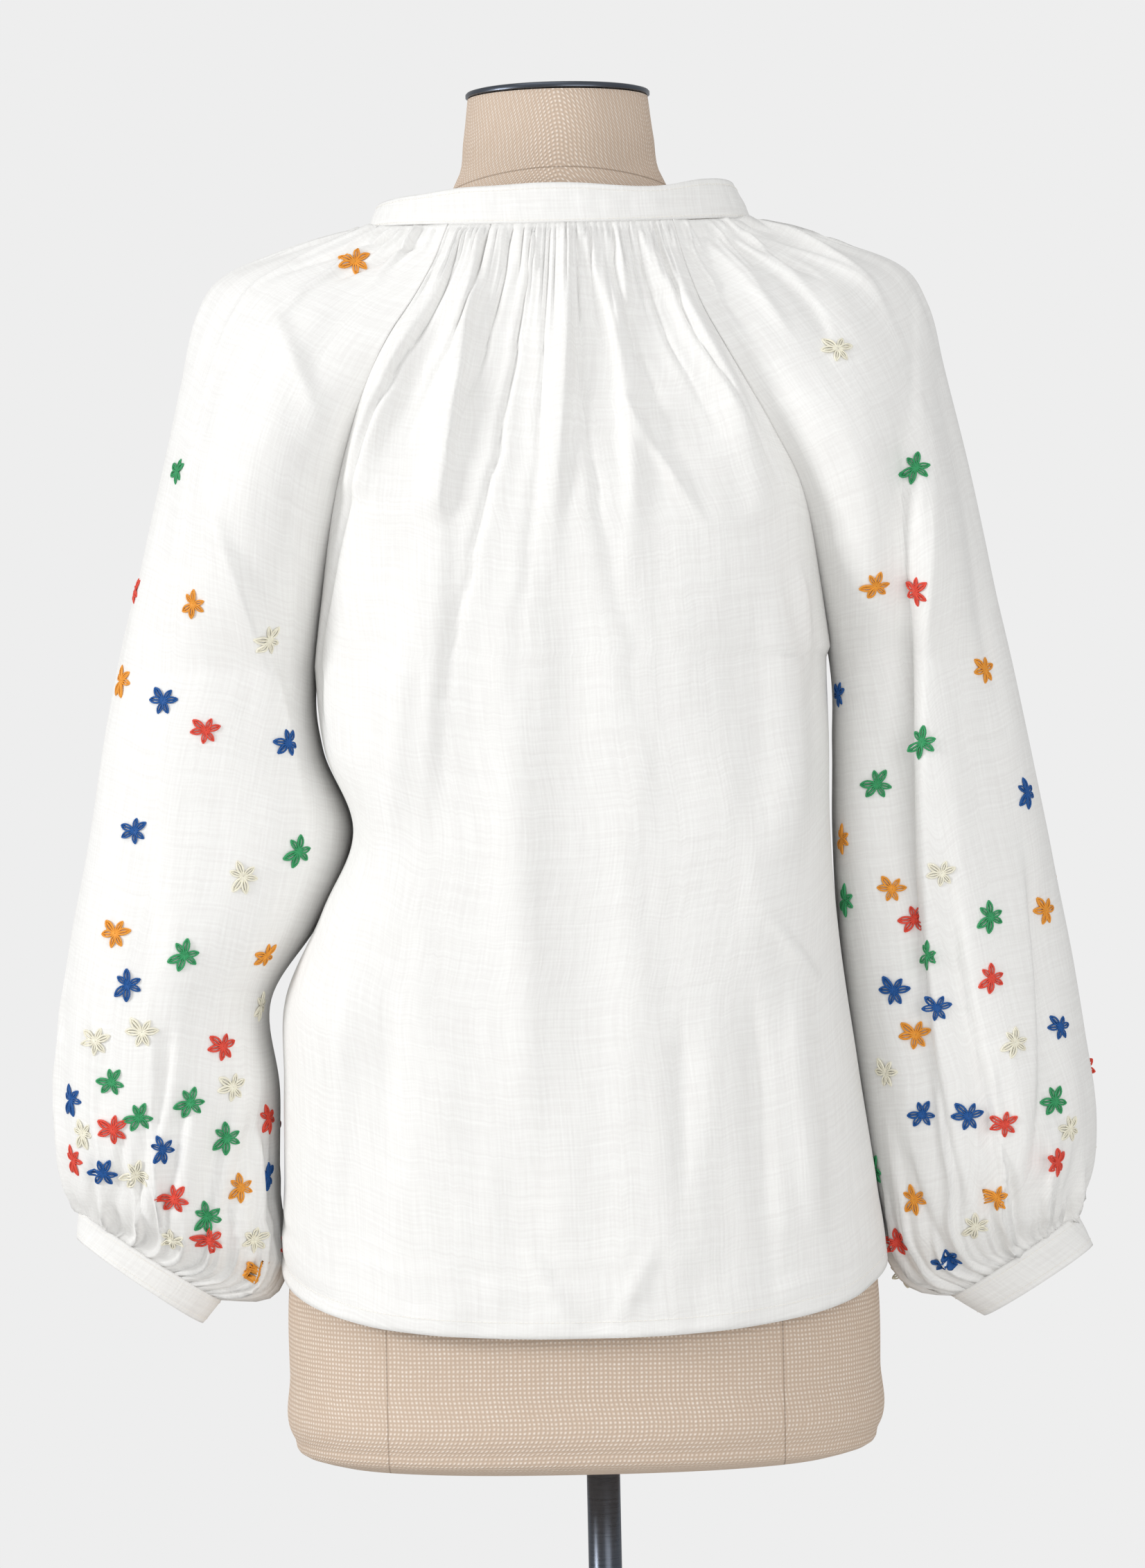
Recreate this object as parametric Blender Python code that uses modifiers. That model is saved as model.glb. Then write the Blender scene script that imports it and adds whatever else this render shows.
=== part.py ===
"""A white cotton raglan blouse with a band collar and balloon sleeves, worn by a linen dress form.

The front faces -Y, the back +Y, and the wearer's left side is +X. The floor is at Z = 0 and the
origin lies on it under the middle of the torso. Lengths are in metres, and every table and every
size of the cloth is in millimetres, which MM turns to metres when a mesh is made.
"""
import bpy
import bmesh
import math
import numpy as np

MM = 0.001
PART_NAME = "mandarin_collar_blouse"

# The cloth and the clearances between its pieces.
CLOTH_WALL = 1.0
BAND_WALL = 1.8
SEAM_GAP = 0.8
FOLDED_SEAM_GAP = 2.7
BAND_CLEARANCE = 1.0
SIDE_SEAM_GAP = 0.5

# The neckline, an oval ring that dips towards the front.
NECK_HALF_WIDTH = 114.0
NECK_BACK_DEPTH = 78.0
NECK_FRONT_DEPTH = 92.0
NECK_BACK_Z = 1466.5
NECK_SHOULDER_Z = 1473.0
NECK_FRONT_Z = 1424.0
MEET_REACH = 45.0

# The front raglan seam starts lower and further forward than the back one.
FRONT_SEAM_DROP = 28.5
FRONT_SEAM_DEEPER = 0.15

# The band collar stands on the neckline and leans towards the neck. It has sunk a little at the
# left shoulder and behind the right one. Angles run from the left shoulder round the back.
COLLAR_END_GAP_DEG = 2.2
COLLAR = (
    ("angle", "height", "lean"),
    (-90, 23.0, 6),
    (-30, 18.0, 6),
    (0, 15.0, 6),
    (37, 18.0, 8),
    (60, 22.0, 8),
    (90, 24.0, 7),
    (122, 20.5, 7),
    (142, 23.5, 8),
    (165, 23.0, 10),
    (180, 21.0, 10),
    (225, 22.0, 8),
    (270, 23.0, 6),
)

# The underarm, as a share of the way from neckline to cuff and from neckline to hem.
UNDERARM_AT = 0.50
UNDERARM_ROW = 0.40
NECK_SLIT_DEPTH_ROW = 0.17
NECK_SLIT_HALF_WIDTH = 1.5

# Gathers that show along the collar seam, and how deep they stand at the first row of cloth.
BACK_GATHERS = 21
FRONT_GATHERS = 15
SLEEVE_GATHERS = 15
CUFF_GATHERS = 15
GATHER_LIFT = 1.5

# Rows and columns of each grid of cloth.
BACK_ROWS, BACK_COLUMNS = 22, 42
FRONT_ROWS, FRONT_COLUMNS = 17, 30
SLEEVE_ROWS, SLEEVE_COLUMNS = 26, 30
CUFF_TURN_AT, CUFF_TURN_ROWS = 0.90, 6
COLLAR_COLUMNS = 44
CUFF_COLUMNS = 24

# Each sleeve from the neckline to the cuff. out_ is the line over the shoulder and down the
# outside, seam_ the raglan seam at the back and, past the underarm, the underarm seam. turn is
# the way the cloth leaves the seam, in degrees from +X to +Y, and the pulls swell the tube.
SLEEVE_LEFT = (
    ("at", "out_x", "out_z", "seam_x", "seam_y", "seam_z", "turn", "back_pull", "front_pull"),
    (0.000, 114, 1473.0, 66, 64, 1468, -26, 92, 105),
    (0.080, 166, 1460.5, 76, 73, 1443, -14, 112, 125),
    (0.150, 210, 1440.0, 90, 82, 1419, 0, 136, 150),
    (0.185, 220, 1422.0, 99, 86, 1406, 8, 150, 165),
    (0.250, 230, 1380.0, 113, 87, 1380, 24, 180, 190),
    (0.320, 240, 1332.0, 125, 82, 1347, 44, 210, 215),
    (0.400, 252, 1280.0, 137, 62, 1302, 66, 236, 236),
    (0.460, 263, 1240.0, 145, 34, 1256, 82, 252, 250),
    (0.500, 271, 1209.0, 152, 0, 1211, 90, 258, 256),
    (0.580, 282, 1158.0, 150, 0, 1162, 90, 266, 262),
    (0.660, 293, 1104.0, 133, 0, 1112, 90, 276, 266),
    (0.740, 303, 1052.0, 155, 0, 1058, 90, 286, 276),
    (0.800, 309, 1010.0, 184, 0, 1014, 90, 280, 276),
    (0.870, 313, 965.0, 180, 0, 955, 90, 270, 270),
    (0.920, 312, 930.0, 181, 0, 900, 90, 250, 250),
    (0.960, 308, 905.0, 179, 0, 852, 90, 190, 190),
    (0.985, 303, 893.0, 194, 0, 835, 90, 112, 112),
    (1.000, 299, 888.0, 217, 0, 834, 90, 84, 84),
)
SLEEVE_RIGHT = (
    ("at", "out_x", "out_z", "seam_x", "seam_y", "seam_z", "turn", "back_pull", "front_pull"),
    (0.000, 114, 1473.0, 66, 64, 1468, -26, 92, 105),
    (0.080, 166, 1459.5, 73, 73, 1441, -14, 112, 125),
    (0.150, 209, 1439.0, 84, 82, 1412, 0, 136, 150),
    (0.185, 218, 1421.0, 92, 86, 1397, 8, 150, 165),
    (0.250, 227, 1384.0, 106, 88, 1372, 24, 180, 190),
    (0.320, 238, 1338.0, 122, 84, 1343, 44, 210, 215),
    (0.400, 250, 1280.0, 140, 66, 1304, 66, 236, 236),
    (0.460, 258, 1238.0, 149, 36, 1256, 82, 250, 250),
    (0.500, 265, 1205.0, 156, 0, 1211, 90, 258, 256),
    (0.580, 275, 1150.0, 157, 0, 1158, 90, 266, 262),
    (0.660, 286, 1088.0, 156, 0, 1106, 90, 272, 266),
    (0.740, 295, 1030.0, 158, 0, 1050, 90, 276, 270),
    (0.800, 301, 985.0, 163, 0, 1000, 90, 276, 270),
    (0.870, 307, 935.0, 170, 0, 945, 90, 266, 262),
    (0.920, 306, 903.0, 177, 0, 893, 90, 240, 240),
    (0.960, 301, 884.0, 186, 0, 851, 90, 180, 180),
    (0.985, 297, 876.0, 202, 0, 833, 90, 110, 110),
    (1.000, 295, 873.0, 221, 0, 827, 90, 84, 84),
)

# The rings of the body: the middle of the back and of the front from neckline to hem, the side
# seams past the underarm, and how square each ring is.
BODY = (
    ("at", "back_y", "back_z", "front_y", "front_z", "left_x", "right_x", "side_z", "square"),
    (0.00, 78, 1466.5, -92, 1424, 152, 156, 1211, 2.0),
    (0.05, 88, 1436.0, -101, 1398, 152, 156, 1211, 2.0),
    (0.12, 98, 1392.0, -113, 1363, 152, 156, 1211, 2.0),
    (0.22, 108, 1330.0, -124, 1313, 152, 156, 1211, 2.1),
    (0.32, 113, 1265.0, -128, 1258, 152, 156, 1211, 2.3),
    (0.40, 115, 1211.0, -128, 1211, 152, 153, 1211, 2.6),
    (0.48, 116, 1160.0, -127, 1160, 147, 153, 1163, 3.0),
    (0.56, 118, 1108.0, -126, 1108, 130, 152, 1114, 3.4),
    (0.64, 119, 1056.0, -126, 1056, 150, 154, 1065, 3.4),
    (0.72, 121, 1003.0, -127, 1003, 173, 159, 1016, 3.0),
    (0.80, 124, 950.0, -128, 950, 175, 166, 968, 2.7),
    (0.90, 129, 885.0, -130, 885, 176.5, 174, 911, 2.5),
    (1.00, 133, 820.0, -132, 826, 179.5, 181, 857, 2.4),
)

# Folds of cloth as seen from behind. Each runs down through three places; lift is how far it
# stands out, or sinks where it is negative, and the two spreads are its reach on the +X and -X
# sides. start and end are the strength that it keeps at its top and bottom.
FOLDS = ("top_x", "top_z", "mid_x", "mid_z", "end_x", "end_z", "lift", "spread_l", "spread_r",
         "start", "end")
BACK_FOLDS = (
    FOLDS,
    (48, 1458, 57, 1400, 72, 1305, 5.0, 12, 7, 0.6, 0.6),
    (42, 1440, 49, 1395, 62, 1305, -4.5, 6, 9, 0.2, 0.2),
    (72, 1305, 78, 1212, 92, 1092, 3.0, 16, 12, 0.6, 0.1),
    (-6, 1457, -2, 1391, 8, 1271, 4.0, 12, 7, 0.5, 0.2),
    (-13, 1445, -10, 1391, -4, 1300, -4.0, 7, 9, 0.3, 0.1),
    (-15, 1457, -28, 1399, -35, 1270, 4.0, 9, 10, 0.5, 0.2),
    (18, 1460, 18, 1445, 10, 1410, 3.0, 8, 8, 0.7, 0.1),
    (36, 1460, 42, 1436, 53, 1395, 3.0, 8, 8, 0.7, 0.1),
    (-49, 1456, -58, 1425, -72, 1370, 4.0, 9, 8, 0.7, 0.1),
    (-66, 1440, -84, 1397, -113, 1300, 7.0, 12, 11, 0.3, 0.4),
    (80, 1435, 96, 1394, 122, 1318, 7.0, 11, 12, 0.3, 0.4),
    (-27, 1371, -50, 1334, -81, 1285, 3.5, 9, 8, 0.1, 0.1),
    (100, 1253, 102, 1170, 106, 1060, 7.0, 16, 16, 0.2, 0.2),
    (-118, 1260, -126, 1170, -116, 1066, 6.0, 14, 14, 0.2, 0.2),
    (-60, 1020, -59, 949, -54, 880, -3.0, 12, 12, 0.1, 0.2),
    (-101, 1030, -105, 928, -110, 850, -4.0, 13, 12, 0.1, 0.3),
    (-127, 1030, -129, 940, -138, 860, 4.0, 12, 12, 0.1, 0.3),
    (136, 1030, 141, 940, 148, 860, 4.0, 12, 12, 0.1, 0.3),
    (110, 1040, 112, 950, 118, 850, -3.5, 13, 13, 0.1, 0.3),
    (30, 1230, 34, 1100, 30, 900, 2.5, 18, 18, 0.1, 0.3),
    (-10, 1200, -14, 1050, -8, 880, -2.5, 18, 18, 0.1, 0.3),
)
FRONT_FOLDS = (
    FOLDS,
    (50, 1410, 58, 1350, 70, 1240, 5.0, 12, 9, 0.5, 0.2),
    (-50, 1410, -60, 1350, -72, 1240, 5.0, 9, 12, 0.5, 0.2),
    (26, 1405, 30, 1340, 34, 1220, -4.0, 10, 10, 0.4, 0.1),
    (-28, 1405, -32, 1330, -38, 1200, -4.0, 10, 10, 0.4, 0.1),
    (82, 1400, 100, 1350, 122, 1280, 6.0, 12, 12, 0.2, 0.3),
    (-80, 1400, -98, 1350, -120, 1280, 6.0, 12, 12, 0.2, 0.3),
    (104, 1240, 102, 1150, 108, 1040, 6.0, 15, 15, 0.2, 0.2),
    (-108, 1240, -118, 1150, -112, 1040, 6.0, 15, 15, 0.2, 0.2),
    (60, 1120, 64, 980, 72, 850, 4.0, 16, 16, 0.1, 0.3),
    (-48, 1150, -54, 1000, -60, 860, 4.0, 16, 16, 0.1, 0.3),
    (8, 1180, 4, 1000, -4, 850, -3.5, 18, 18, 0.1, 0.3),
)
SLEEVE_LEFT_FOLDS = (
    FOLDS,
    (168, 1421, 155, 1384, 141, 1350, -4.0, 13, 12, 0.2, 0.2),
    (215, 1332, 184, 1216, 162, 1113, -4.5, 16, 15, 0.2, 0.2),
    (255, 1180, 250, 1080, 255, 980, 3.5, 18, 18, 0.1, 0.1),
    (222, 1000, 238, 920, 252, 874, -4.0, 11, 11, 0.1, 0.5),
    (200, 990, 214, 910, 228, 865, 4.0, 9, 9, 0.1, 0.5),
    (186, 960, 199, 905, 212, 858, -4.0, 9, 9, 0.1, 0.5),
    (270, 970, 270, 915, 276, 884, -3.5, 9, 9, 0.1, 0.5),
)
SLEEVE_RIGHT_FOLDS = (
    FOLDS,
    (-205, 1370, -196, 1228, -192, 985, 7.0, 16, 9, 0.1, 0.1),
    (-222, 1360, -214, 1228, -211, 985, -11.0, 9, 14, 0.1, 0.1),
    (-205, 1085, -211, 975, -226, 890, -6.0, 10, 11, 0.1, 0.5),
    (-223, 1075, -238, 970, -255, 885, 5.0, 11, 9, 0.1, 0.5),
    (-240, 1070, -253, 970, -268, 890, -6.0, 8, 10, 0.1, 0.5),
    (-268, 1120, -276, 1020, -276, 900, 4.0, 11, 11, 0.1, 0.4),
    (-213, 1420, -232, 1318, -256, 1125, 4.0, 16, 12, 0.1, 0.2),
)
SLEEVE_FRONT_FOLDS = (
    FOLDS,
    (178, 1415, 170, 1360, 160, 1300, -4.0, 13, 13, 0.2, 0.2),
    (230, 1330, 215, 1180, 205, 1020, 6.0, 15, 11, 0.1, 0.1),
    (246, 1320, 233, 1180, 224, 1020, -7.0, 11, 14, 0.1, 0.1),
    (220, 1010, 236, 930, 248, 880, -4.0, 11, 11, 0.1, 0.5),
    (262, 1060, 268, 960, 272, 895, 4.0, 12, 12, 0.1, 0.4),
)

# The linen torso and neck, from the flat underside up: half width, depth behind and before the
# middle, and how square the ring is.
TORSO = (
    ("z", "half_width", "back", "front", "square"),
    (737, 152, 96, -90, 2.4),
    (741, 166, 110, -104, 2.4),
    (752, 174.5, 118, -112, 2.4),
    (790, 176.5, 119, -115, 2.4),
    (840, 176, 118, -115, 2.3),
    (900, 166, 112, -110, 2.3),
    (955, 150, 106, -104, 2.3),
    (1010, 131, 94, -94, 2.2),
    (1062, 116, 86, -88, 2.2),
    (1120, 119, 90, -92, 2.2),
    (1180, 132, 97, -106, 2.2),
    (1240, 140, 101, -116, 2.1),
    (1290, 149, 101, -114, 2.0),
    (1345, 172, 95, -100, 2.0),
    (1385, 194, 86, -86, 2.0),
    (1412, 204, 78, -74, 2.0),
    (1434, 198, 62, -52, 2.0),
    (1455.5, 168, 46, -36, 2.0),
    (1469, 124, 46, -38, 2.0),
    (1476, 98, 47, -42, 2.0),
    (1487, 73, 48, -47, 2.0),
    (1500, 62, 47, -48, 2.0),
    (1525, 57, 47, -49, 2.0),
    (1549, 54, 45, -47, 2.0),
)
TORSO_COLUMNS = 32

# The cap on the neck, the pole and the round base.
CAP_Z = 1549.3
CAP_HEIGHT = 4.0
CAP_RIM = 1.2
CAP_BEVEL = 1.0
POLE_X = -9.5
POLE_RADIUS = 10.0
BASE_RADIUS = 150.0
BASE_THICKNESS = 9.0
HUB_RADIUS = 24.0
HUB_HEIGHT = 26.0
TOUCH_GAP = 0.3


def read(table, field, at):
    """One named column of a table at the places given, on a smooth curve through its rows."""
    rows = np.array(table[1:], float)
    places = rows[:, 0]
    values = rows[:, table[0].index(field)]
    slopes = np.gradient(values, places)
    at = np.clip(at, places[0], places[-1])
    k = np.clip(np.searchsorted(places, at, side="right") - 1, 0, len(places) - 2)
    step = places[k + 1] - places[k]
    t = (at - places[k]) / step
    value = values[k] * (1 + 2 * t) * (1 - t) ** 2 + values[k + 1] * t * t * (3 - 2 * t)
    return value + step * (slopes[k] * t * (1 - t) ** 2 + slopes[k + 1] * t * t * (t - 1))


def smooth(low, high, value):
    """Rises from 0 at low to 1 at high, with soft ends."""
    t = np.clip((value - low) / (high - low), 0, 1)
    return t * t * (3 - 2 * t)


def hermite(start, end, leave, arrive, t):
    """A curve between two points that leaves and arrives along two vectors."""
    t = t[..., None]
    return (start * (1 + 2 * t) * (1 - t) ** 2 + leave * t * (1 - t) ** 2
            + end * t * t * (3 - 2 * t) + arrive * t * t * (t - 1))


def stack(x, y, z):
    """Points from three arrays of any matching shape."""
    return np.stack(np.broadcast_arrays(x, y, z), axis=-1)


def seam_gap(at):
    """The room at a raglan seam, wider where the two pieces fold back on each other."""
    return SEAM_GAP + (FOLDED_SEAM_GAP - SEAM_GAP) * smooth(0.0, 0.8 * UNDERARM_AT, at)


def front_seam(at, seam_y, seam_z):
    """The raglan seam on the front, lower at the neck and meeting the back one underarm."""
    rest = 1 - smooth(0.0, UNDERARM_AT, at)
    deeper = 1 + FRONT_SEAM_DEEPER * rest
    return -seam_y * deeper, seam_z - FRONT_SEAM_DROP * rest


def sleeve_rows():
    """Places of the sleeve's rows, closer together where it turns in to the cuff."""
    upper = np.linspace(0, CUFF_TURN_AT, SLEEVE_ROWS - CUFF_TURN_ROWS, endpoint=False)
    return np.concatenate((upper, np.linspace(CUFF_TURN_AT, 1, CUFF_TURN_ROWS + 1)))[:, None]


def meet_band(points):
    """Draws the gathered edge of the front and of a sleeve's front up to the neckline's ring."""
    edge = points[:1]
    ring = stack(*neckline(np.arctan2(edge[..., 1] / NECK_FRONT_DEPTH,
                                      edge[..., 0] / NECK_HALF_WIDTH)))
    far = np.linalg.norm(points - edge, axis=-1)
    near = smooth(0, 12, -edge[..., 1]) * (1 - smooth(0, MEET_REACH, far))
    return points + (ring - edge) * near[..., None]


def sleeve_grid(table, side, at, columns):
    """The sleeve's cloth: rows from neckline to cuff, columns from back seam to front seam."""
    around = np.linspace(0, 1, columns + 1)[None, :]
    value = {name: read(table, name, at) for name in table[0][1:]}
    value["turn"] = np.where(at >= UNDERARM_AT, 90.0, value["turn"])
    value["seam_y"] = np.where(at >= UNDERARM_AT, 0.0, np.maximum(value["seam_y"], 0.0))
    seam_x = value["seam_x"] + seam_gap(np.minimum(at, UNDERARM_AT)) / 2
    out = stack(value["out_x"], 0 * at, value["out_z"])
    turn = np.radians(value["turn"])
    front_y, front_z = front_seam(at, value["seam_y"], value["seam_z"])
    back = stack(seam_x, value["seam_y"], value["seam_z"])
    front = stack(seam_x, front_y, front_z)
    pull_b, pull_f = value["back_pull"], value["front_pull"]
    leave = stack(pull_b * np.cos(turn), pull_b * np.sin(turn), 0 * at)
    meet = stack(-pull_f * np.cos(turn), pull_f * np.sin(turn), 0 * at)
    over_b = stack(0 * at, -pull_b, 0 * at)
    over_f = stack(0 * at, -pull_f, 0 * at)
    first = hermite(back, out, leave, over_b, np.clip(2 * around, 0, 1) + 0 * at)
    second = hermite(out, front, over_f, meet, np.clip(2 * around - 1, 0, 1) + 0 * at)
    points = np.where((around <= 0.5)[..., None], first, second)
    points[..., 0] *= side
    return meet_band(points)


def raglan_edge(table, side, at, front):
    """The edge of a body panel along the raglan seam, just inside the sleeve's edge."""
    seam_x = read(table, "seam_x", at) - seam_gap(at) / 2
    seam_y = np.maximum(read(table, "seam_y", at), 0.0)
    seam_z = read(table, "seam_z", at)
    if front:
        seam_y, seam_z = front_seam(at, seam_y, seam_z)
    return stack(side * seam_x, seam_y, seam_z)


def body_grid(front, rows, columns):
    """A body panel: rows from neckline to hem, columns from the right side to the left."""
    at = np.linspace(0, 1, rows + 1)[:, None]
    across = np.linspace(-1, 1, columns + 1)[None, :]
    face = "front" if front else "back"
    sign = -1 if front else 1
    mid_y = read(BODY, face + "_y", at)
    mid_z = read(BODY, face + "_z", at)
    square = read(BODY, "square", at)
    angle = across * math.pi / 2
    wide = np.sign(across) * np.abs(np.sin(angle)) ** (2 / square)
    deep = np.abs(np.cos(angle)) ** (2 / square)
    seam_at = UNDERARM_AT * np.clip(at / UNDERARM_ROW, 0, 1)
    left = raglan_edge(SLEEVE_LEFT, 1, seam_at, front)
    right = raglan_edge(SLEEVE_RIGHT, -1, seam_at, front)
    below = at >= UNDERARM_ROW
    room = FOLDED_SEAM_GAP / 2
    side_y = sign * SIDE_SEAM_GAP / 2
    side_z = read(BODY, "side_z", at)
    edge_l = np.where(below[..., None],
                      stack(read(BODY, "left_x", at) - room, side_y + 0 * at, side_z), left)
    edge_r = np.where(below[..., None],
                      stack(-read(BODY, "right_x", at) + room, side_y + 0 * at, side_z), right)
    edge_l[..., 1] = sign * np.maximum(np.abs(edge_l[..., 1]), abs(side_y))
    edge_r[..., 1] = sign * np.maximum(np.abs(edge_r[..., 1]), abs(side_y))
    share = (across + 1) / 2
    level = edge_r * (1 - share[..., None]) + edge_l * share[..., None]
    half = np.where(across > 0, edge_l[..., 0], -edge_r[..., 0])
    bow = 1 - across ** 2
    fold_in = smooth(0.0, UNDERARM_ROW, at)
    x = (1 - fold_in) * level[..., 0] + fold_in * half * wide
    y_bowed = level[..., 1] + (mid_y - level[..., 1]) * bow
    y_round = level[..., 1] + (mid_y - level[..., 1]) * deep
    y = (1 - fold_in) * y_bowed + fold_in * y_round
    z = level[..., 2] + (mid_z - level[..., 2]) * bow
    points = stack(x, y, z)
    return meet_band(points) if front else points


def outward(points):
    """Unit normals of a grid of points, taken from its neighbours along rows and columns."""
    down = np.gradient(points, axis=0)
    along = np.gradient(points, axis=1)
    normal = np.cross(along, down)
    size = np.linalg.norm(normal, axis=-1, keepdims=True)
    return normal / np.maximum(size, 1e-9)


def fold_lift(folds, x, z):
    """How far the listed folds lift the cloth at places given by x and z."""
    lift = np.zeros(np.broadcast(x, z).shape)
    for row in folds[1:]:
        fold = dict(zip(folds[0], row))
        along = (fold["top_z"] - z) / (fold["top_z"] - fold["end_z"])
        middle = (fold["top_z"] - fold["mid_z"]) / (fold["top_z"] - fold["end_z"])
        t = np.clip(along, 0, 1)
        path = (fold["top_x"] * (t - middle) * (t - 1) / middle
                + fold["mid_x"] * t * (t - 1) / (middle * (middle - 1))
                + fold["end_x"] * t * (t - middle) / (1 - middle))
        beside = x - path
        spread = np.where(beside > 0, fold["spread_l"], fold["spread_r"])
        rise = fold["start"] + (1 - fold["start"]) * smooth(0, 0.3, t)
        fall = fold["end"] + (1 - fold["end"]) * (1 - smooth(0.6, 1, t))
        beyond = np.maximum(-along, along - 1)
        fade = 1 - smooth(0, 0.12, beyond)
        lift += fold["lift"] * np.exp(-(beside / spread) ** 2) * rise * fall * fade
    return lift


def gather_wave(around, count):
    """Ridges and troughs of a gathered edge, from -1 to 1, uneven in height."""
    height = 0.72 + 0.28 * np.sin(7.0 * around + 1.3) * np.cos(17.0 * around)
    return np.cos(2 * math.pi * count * around) * height


def grid_mesh(name, points, closed=False):
    """A mesh of quads on a grid of points in millimetres. Corners at the same place are joined."""
    rows, columns = points.shape[:2]
    shape = bmesh.new()
    corners = [[shape.verts.new(point * MM) for point in row] for row in points]
    last = columns if closed else columns - 1
    for i in range(rows - 1):
        for j in range(last):
            k = (j + 1) % columns
            shape.faces.new((corners[i][j], corners[i + 1][j], corners[i + 1][k], corners[i][k]))
    bmesh.ops.remove_doubles(shape, verts=shape.verts, dist=0.01 * MM)
    for face in shape.faces:
        face.smooth = True
    mesh = bpy.data.meshes.new(name)
    shape.to_mesh(mesh)
    shape.free()
    return mesh


def add_wall(piece, thickness):
    """Gives a sheet of cloth its wall, half on each side of the sheet."""
    wall = piece.modifiers.new("Wall", "SOLIDIFY")
    wall.thickness = thickness * MM
    wall.offset = 0.0
    return wall


def make_material(name, colour, roughness, metallic=0.0):
    """A Principled material with one colour."""
    material = bpy.data.materials.new(name)
    material.use_nodes = True
    shader = material.node_tree.nodes["Principled BSDF"]
    shader.inputs["Base Color"].default_value = (*colour, 1.0)
    shader.inputs["Roughness"].default_value = roughness
    shader.inputs["Metallic"].default_value = metallic
    return material


def add_piece(name, mesh, material, collection):
    """An object with its material, linked to the part's collection."""
    piece = bpy.data.objects.new(name, mesh)
    mesh.materials.append(material)
    collection.objects.link(piece)
    return piece


def make_body_panel(name, front, rows, columns, folds, gathers, material, collection):
    """The back or the front, with its folds and the gathers under the collar."""
    points = body_grid(front, rows, columns)
    across = np.linspace(-1, 1, columns + 1)[None, :]
    at = np.linspace(0, 1, rows + 1)[:, None]
    normal = outward(points) * (-1 if front else 1)
    edge = smooth(0, 0.16, 1 - np.abs(across))
    start = smooth(0, 0.03, at)
    lift = fold_lift(folds, points[..., 0], points[..., 2]) * edge * start
    gathered = start * (1 - smooth(0.05, 0.16, at)) * smooth(0, 0.1, 1 - np.abs(across))
    lift += GATHER_LIFT * gathered * gather_wave((across + 1) / 2, gathers)
    points = points + normal * lift[..., None]
    if front:
        middle = columns // 2
        slit = at[:, 0] < NECK_SLIT_DEPTH_ROW
        shift = np.where(slit, NECK_SLIT_HALF_WIDTH, 0.0)
        right_half = points[:, :middle + 1].copy()
        left_half = points[:, middle:].copy()
        right_half[:, -1, 0] -= shift
        left_half[:, 0, 0] += shift
        mesh = join_grids(name, (right_half, left_half))
    else:
        mesh = grid_mesh(name, points)
    piece = add_piece(name, mesh, material, collection)
    add_wall(piece, CLOTH_WALL)
    return piece


def join_grids(name, grids):
    """One mesh from grids that share an edge."""
    shape = bmesh.new()
    for grid in grids:
        half = grid_mesh(name + "_half", grid)
        shape.from_mesh(half)
        bpy.data.meshes.remove(half)
    bmesh.ops.remove_doubles(shape, verts=shape.verts, dist=0.01 * MM)
    mesh = bpy.data.meshes.new(name)
    shape.to_mesh(mesh)
    shape.free()
    return mesh


def make_sleeve(name, table, side, back_folds, material, collection):
    """A sleeve: open along the raglan seams, a closed tube below the underarm."""
    at = sleeve_rows()
    points = sleeve_grid(table, side, at, SLEEVE_COLUMNS)
    around = np.linspace(0, 1, SLEEVE_COLUMNS + 1)[None, :]
    normal = outward(points) * -side
    edge = smooth(0, 0.12, np.minimum(around, 1 - around))
    ends = smooth(0, 0.03, at) * (1 - smooth(0.985, 1.0, at))
    x, z = points[..., 0], points[..., 2]
    behind = fold_lift(back_folds, x, z) * (1 - smooth(0.42, 0.52, around))
    before = fold_lift(SLEEVE_FRONT_FOLDS, np.abs(x), z) * smooth(0.48, 0.58, around)
    lift = (behind + before) * edge * ends
    at_neck = smooth(0, 0.03, at) * (1 - smooth(0.05, 0.13, at))
    at_cuff = smooth(0.86, 0.95, at) * (1 - smooth(0.98, 1.0, at))
    lift += GATHER_LIFT * at_neck * edge * gather_wave(around, SLEEVE_GATHERS)
    lift += GATHER_LIFT * at_cuff * gather_wave(around, CUFF_GATHERS)
    points = points + normal * lift[..., None]
    joined = at[:, 0] >= UNDERARM_AT
    seam = (points[:, 0] + points[:, -1]) / 2
    points[joined, 0] = seam[joined]
    points[joined, -1] = seam[joined]
    piece = add_piece(name, grid_mesh(name, points), material, collection)
    add_wall(piece, CLOTH_WALL)
    return piece


def neckline(angle):
    """The seam ring at an angle in radians from +X towards +Y."""
    depth = np.where(np.sin(angle) > 0, NECK_BACK_DEPTH, NECK_FRONT_DEPTH)
    x = NECK_HALF_WIDTH * np.cos(angle)
    y = depth * np.sin(angle)
    lowest = np.where(np.sin(angle) > 0, NECK_BACK_Z, NECK_FRONT_Z)
    z = NECK_SHOULDER_Z + (lowest - NECK_SHOULDER_Z) * np.sin(angle) ** 2
    return x, y, z


def make_collar(material, collection):
    """The band collar, a strip that stands on the neckline and opens at the centre front."""
    half_gap = math.radians(COLLAR_END_GAP_DEG)
    angle = np.linspace(-math.pi / 2 + half_gap, 3 * math.pi / 2 - half_gap, COLLAR_COLUMNS + 1)
    up = np.array([0.0, 0.5, 1.0])[:, None]
    x, y, z = neckline(angle)
    lean = read(COLLAR, "lean", np.degrees(angle)) * up
    top = z + BAND_CLEARANCE + up * read(COLLAR, "height", np.degrees(angle))
    points = stack(x * (1 - lean / NECK_HALF_WIDTH), y * (1 - lean / NECK_BACK_DEPTH), top)
    piece = add_piece("collar", grid_mesh("collar", points), material, collection)
    add_wall(piece, BAND_WALL)
    return piece


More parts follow.
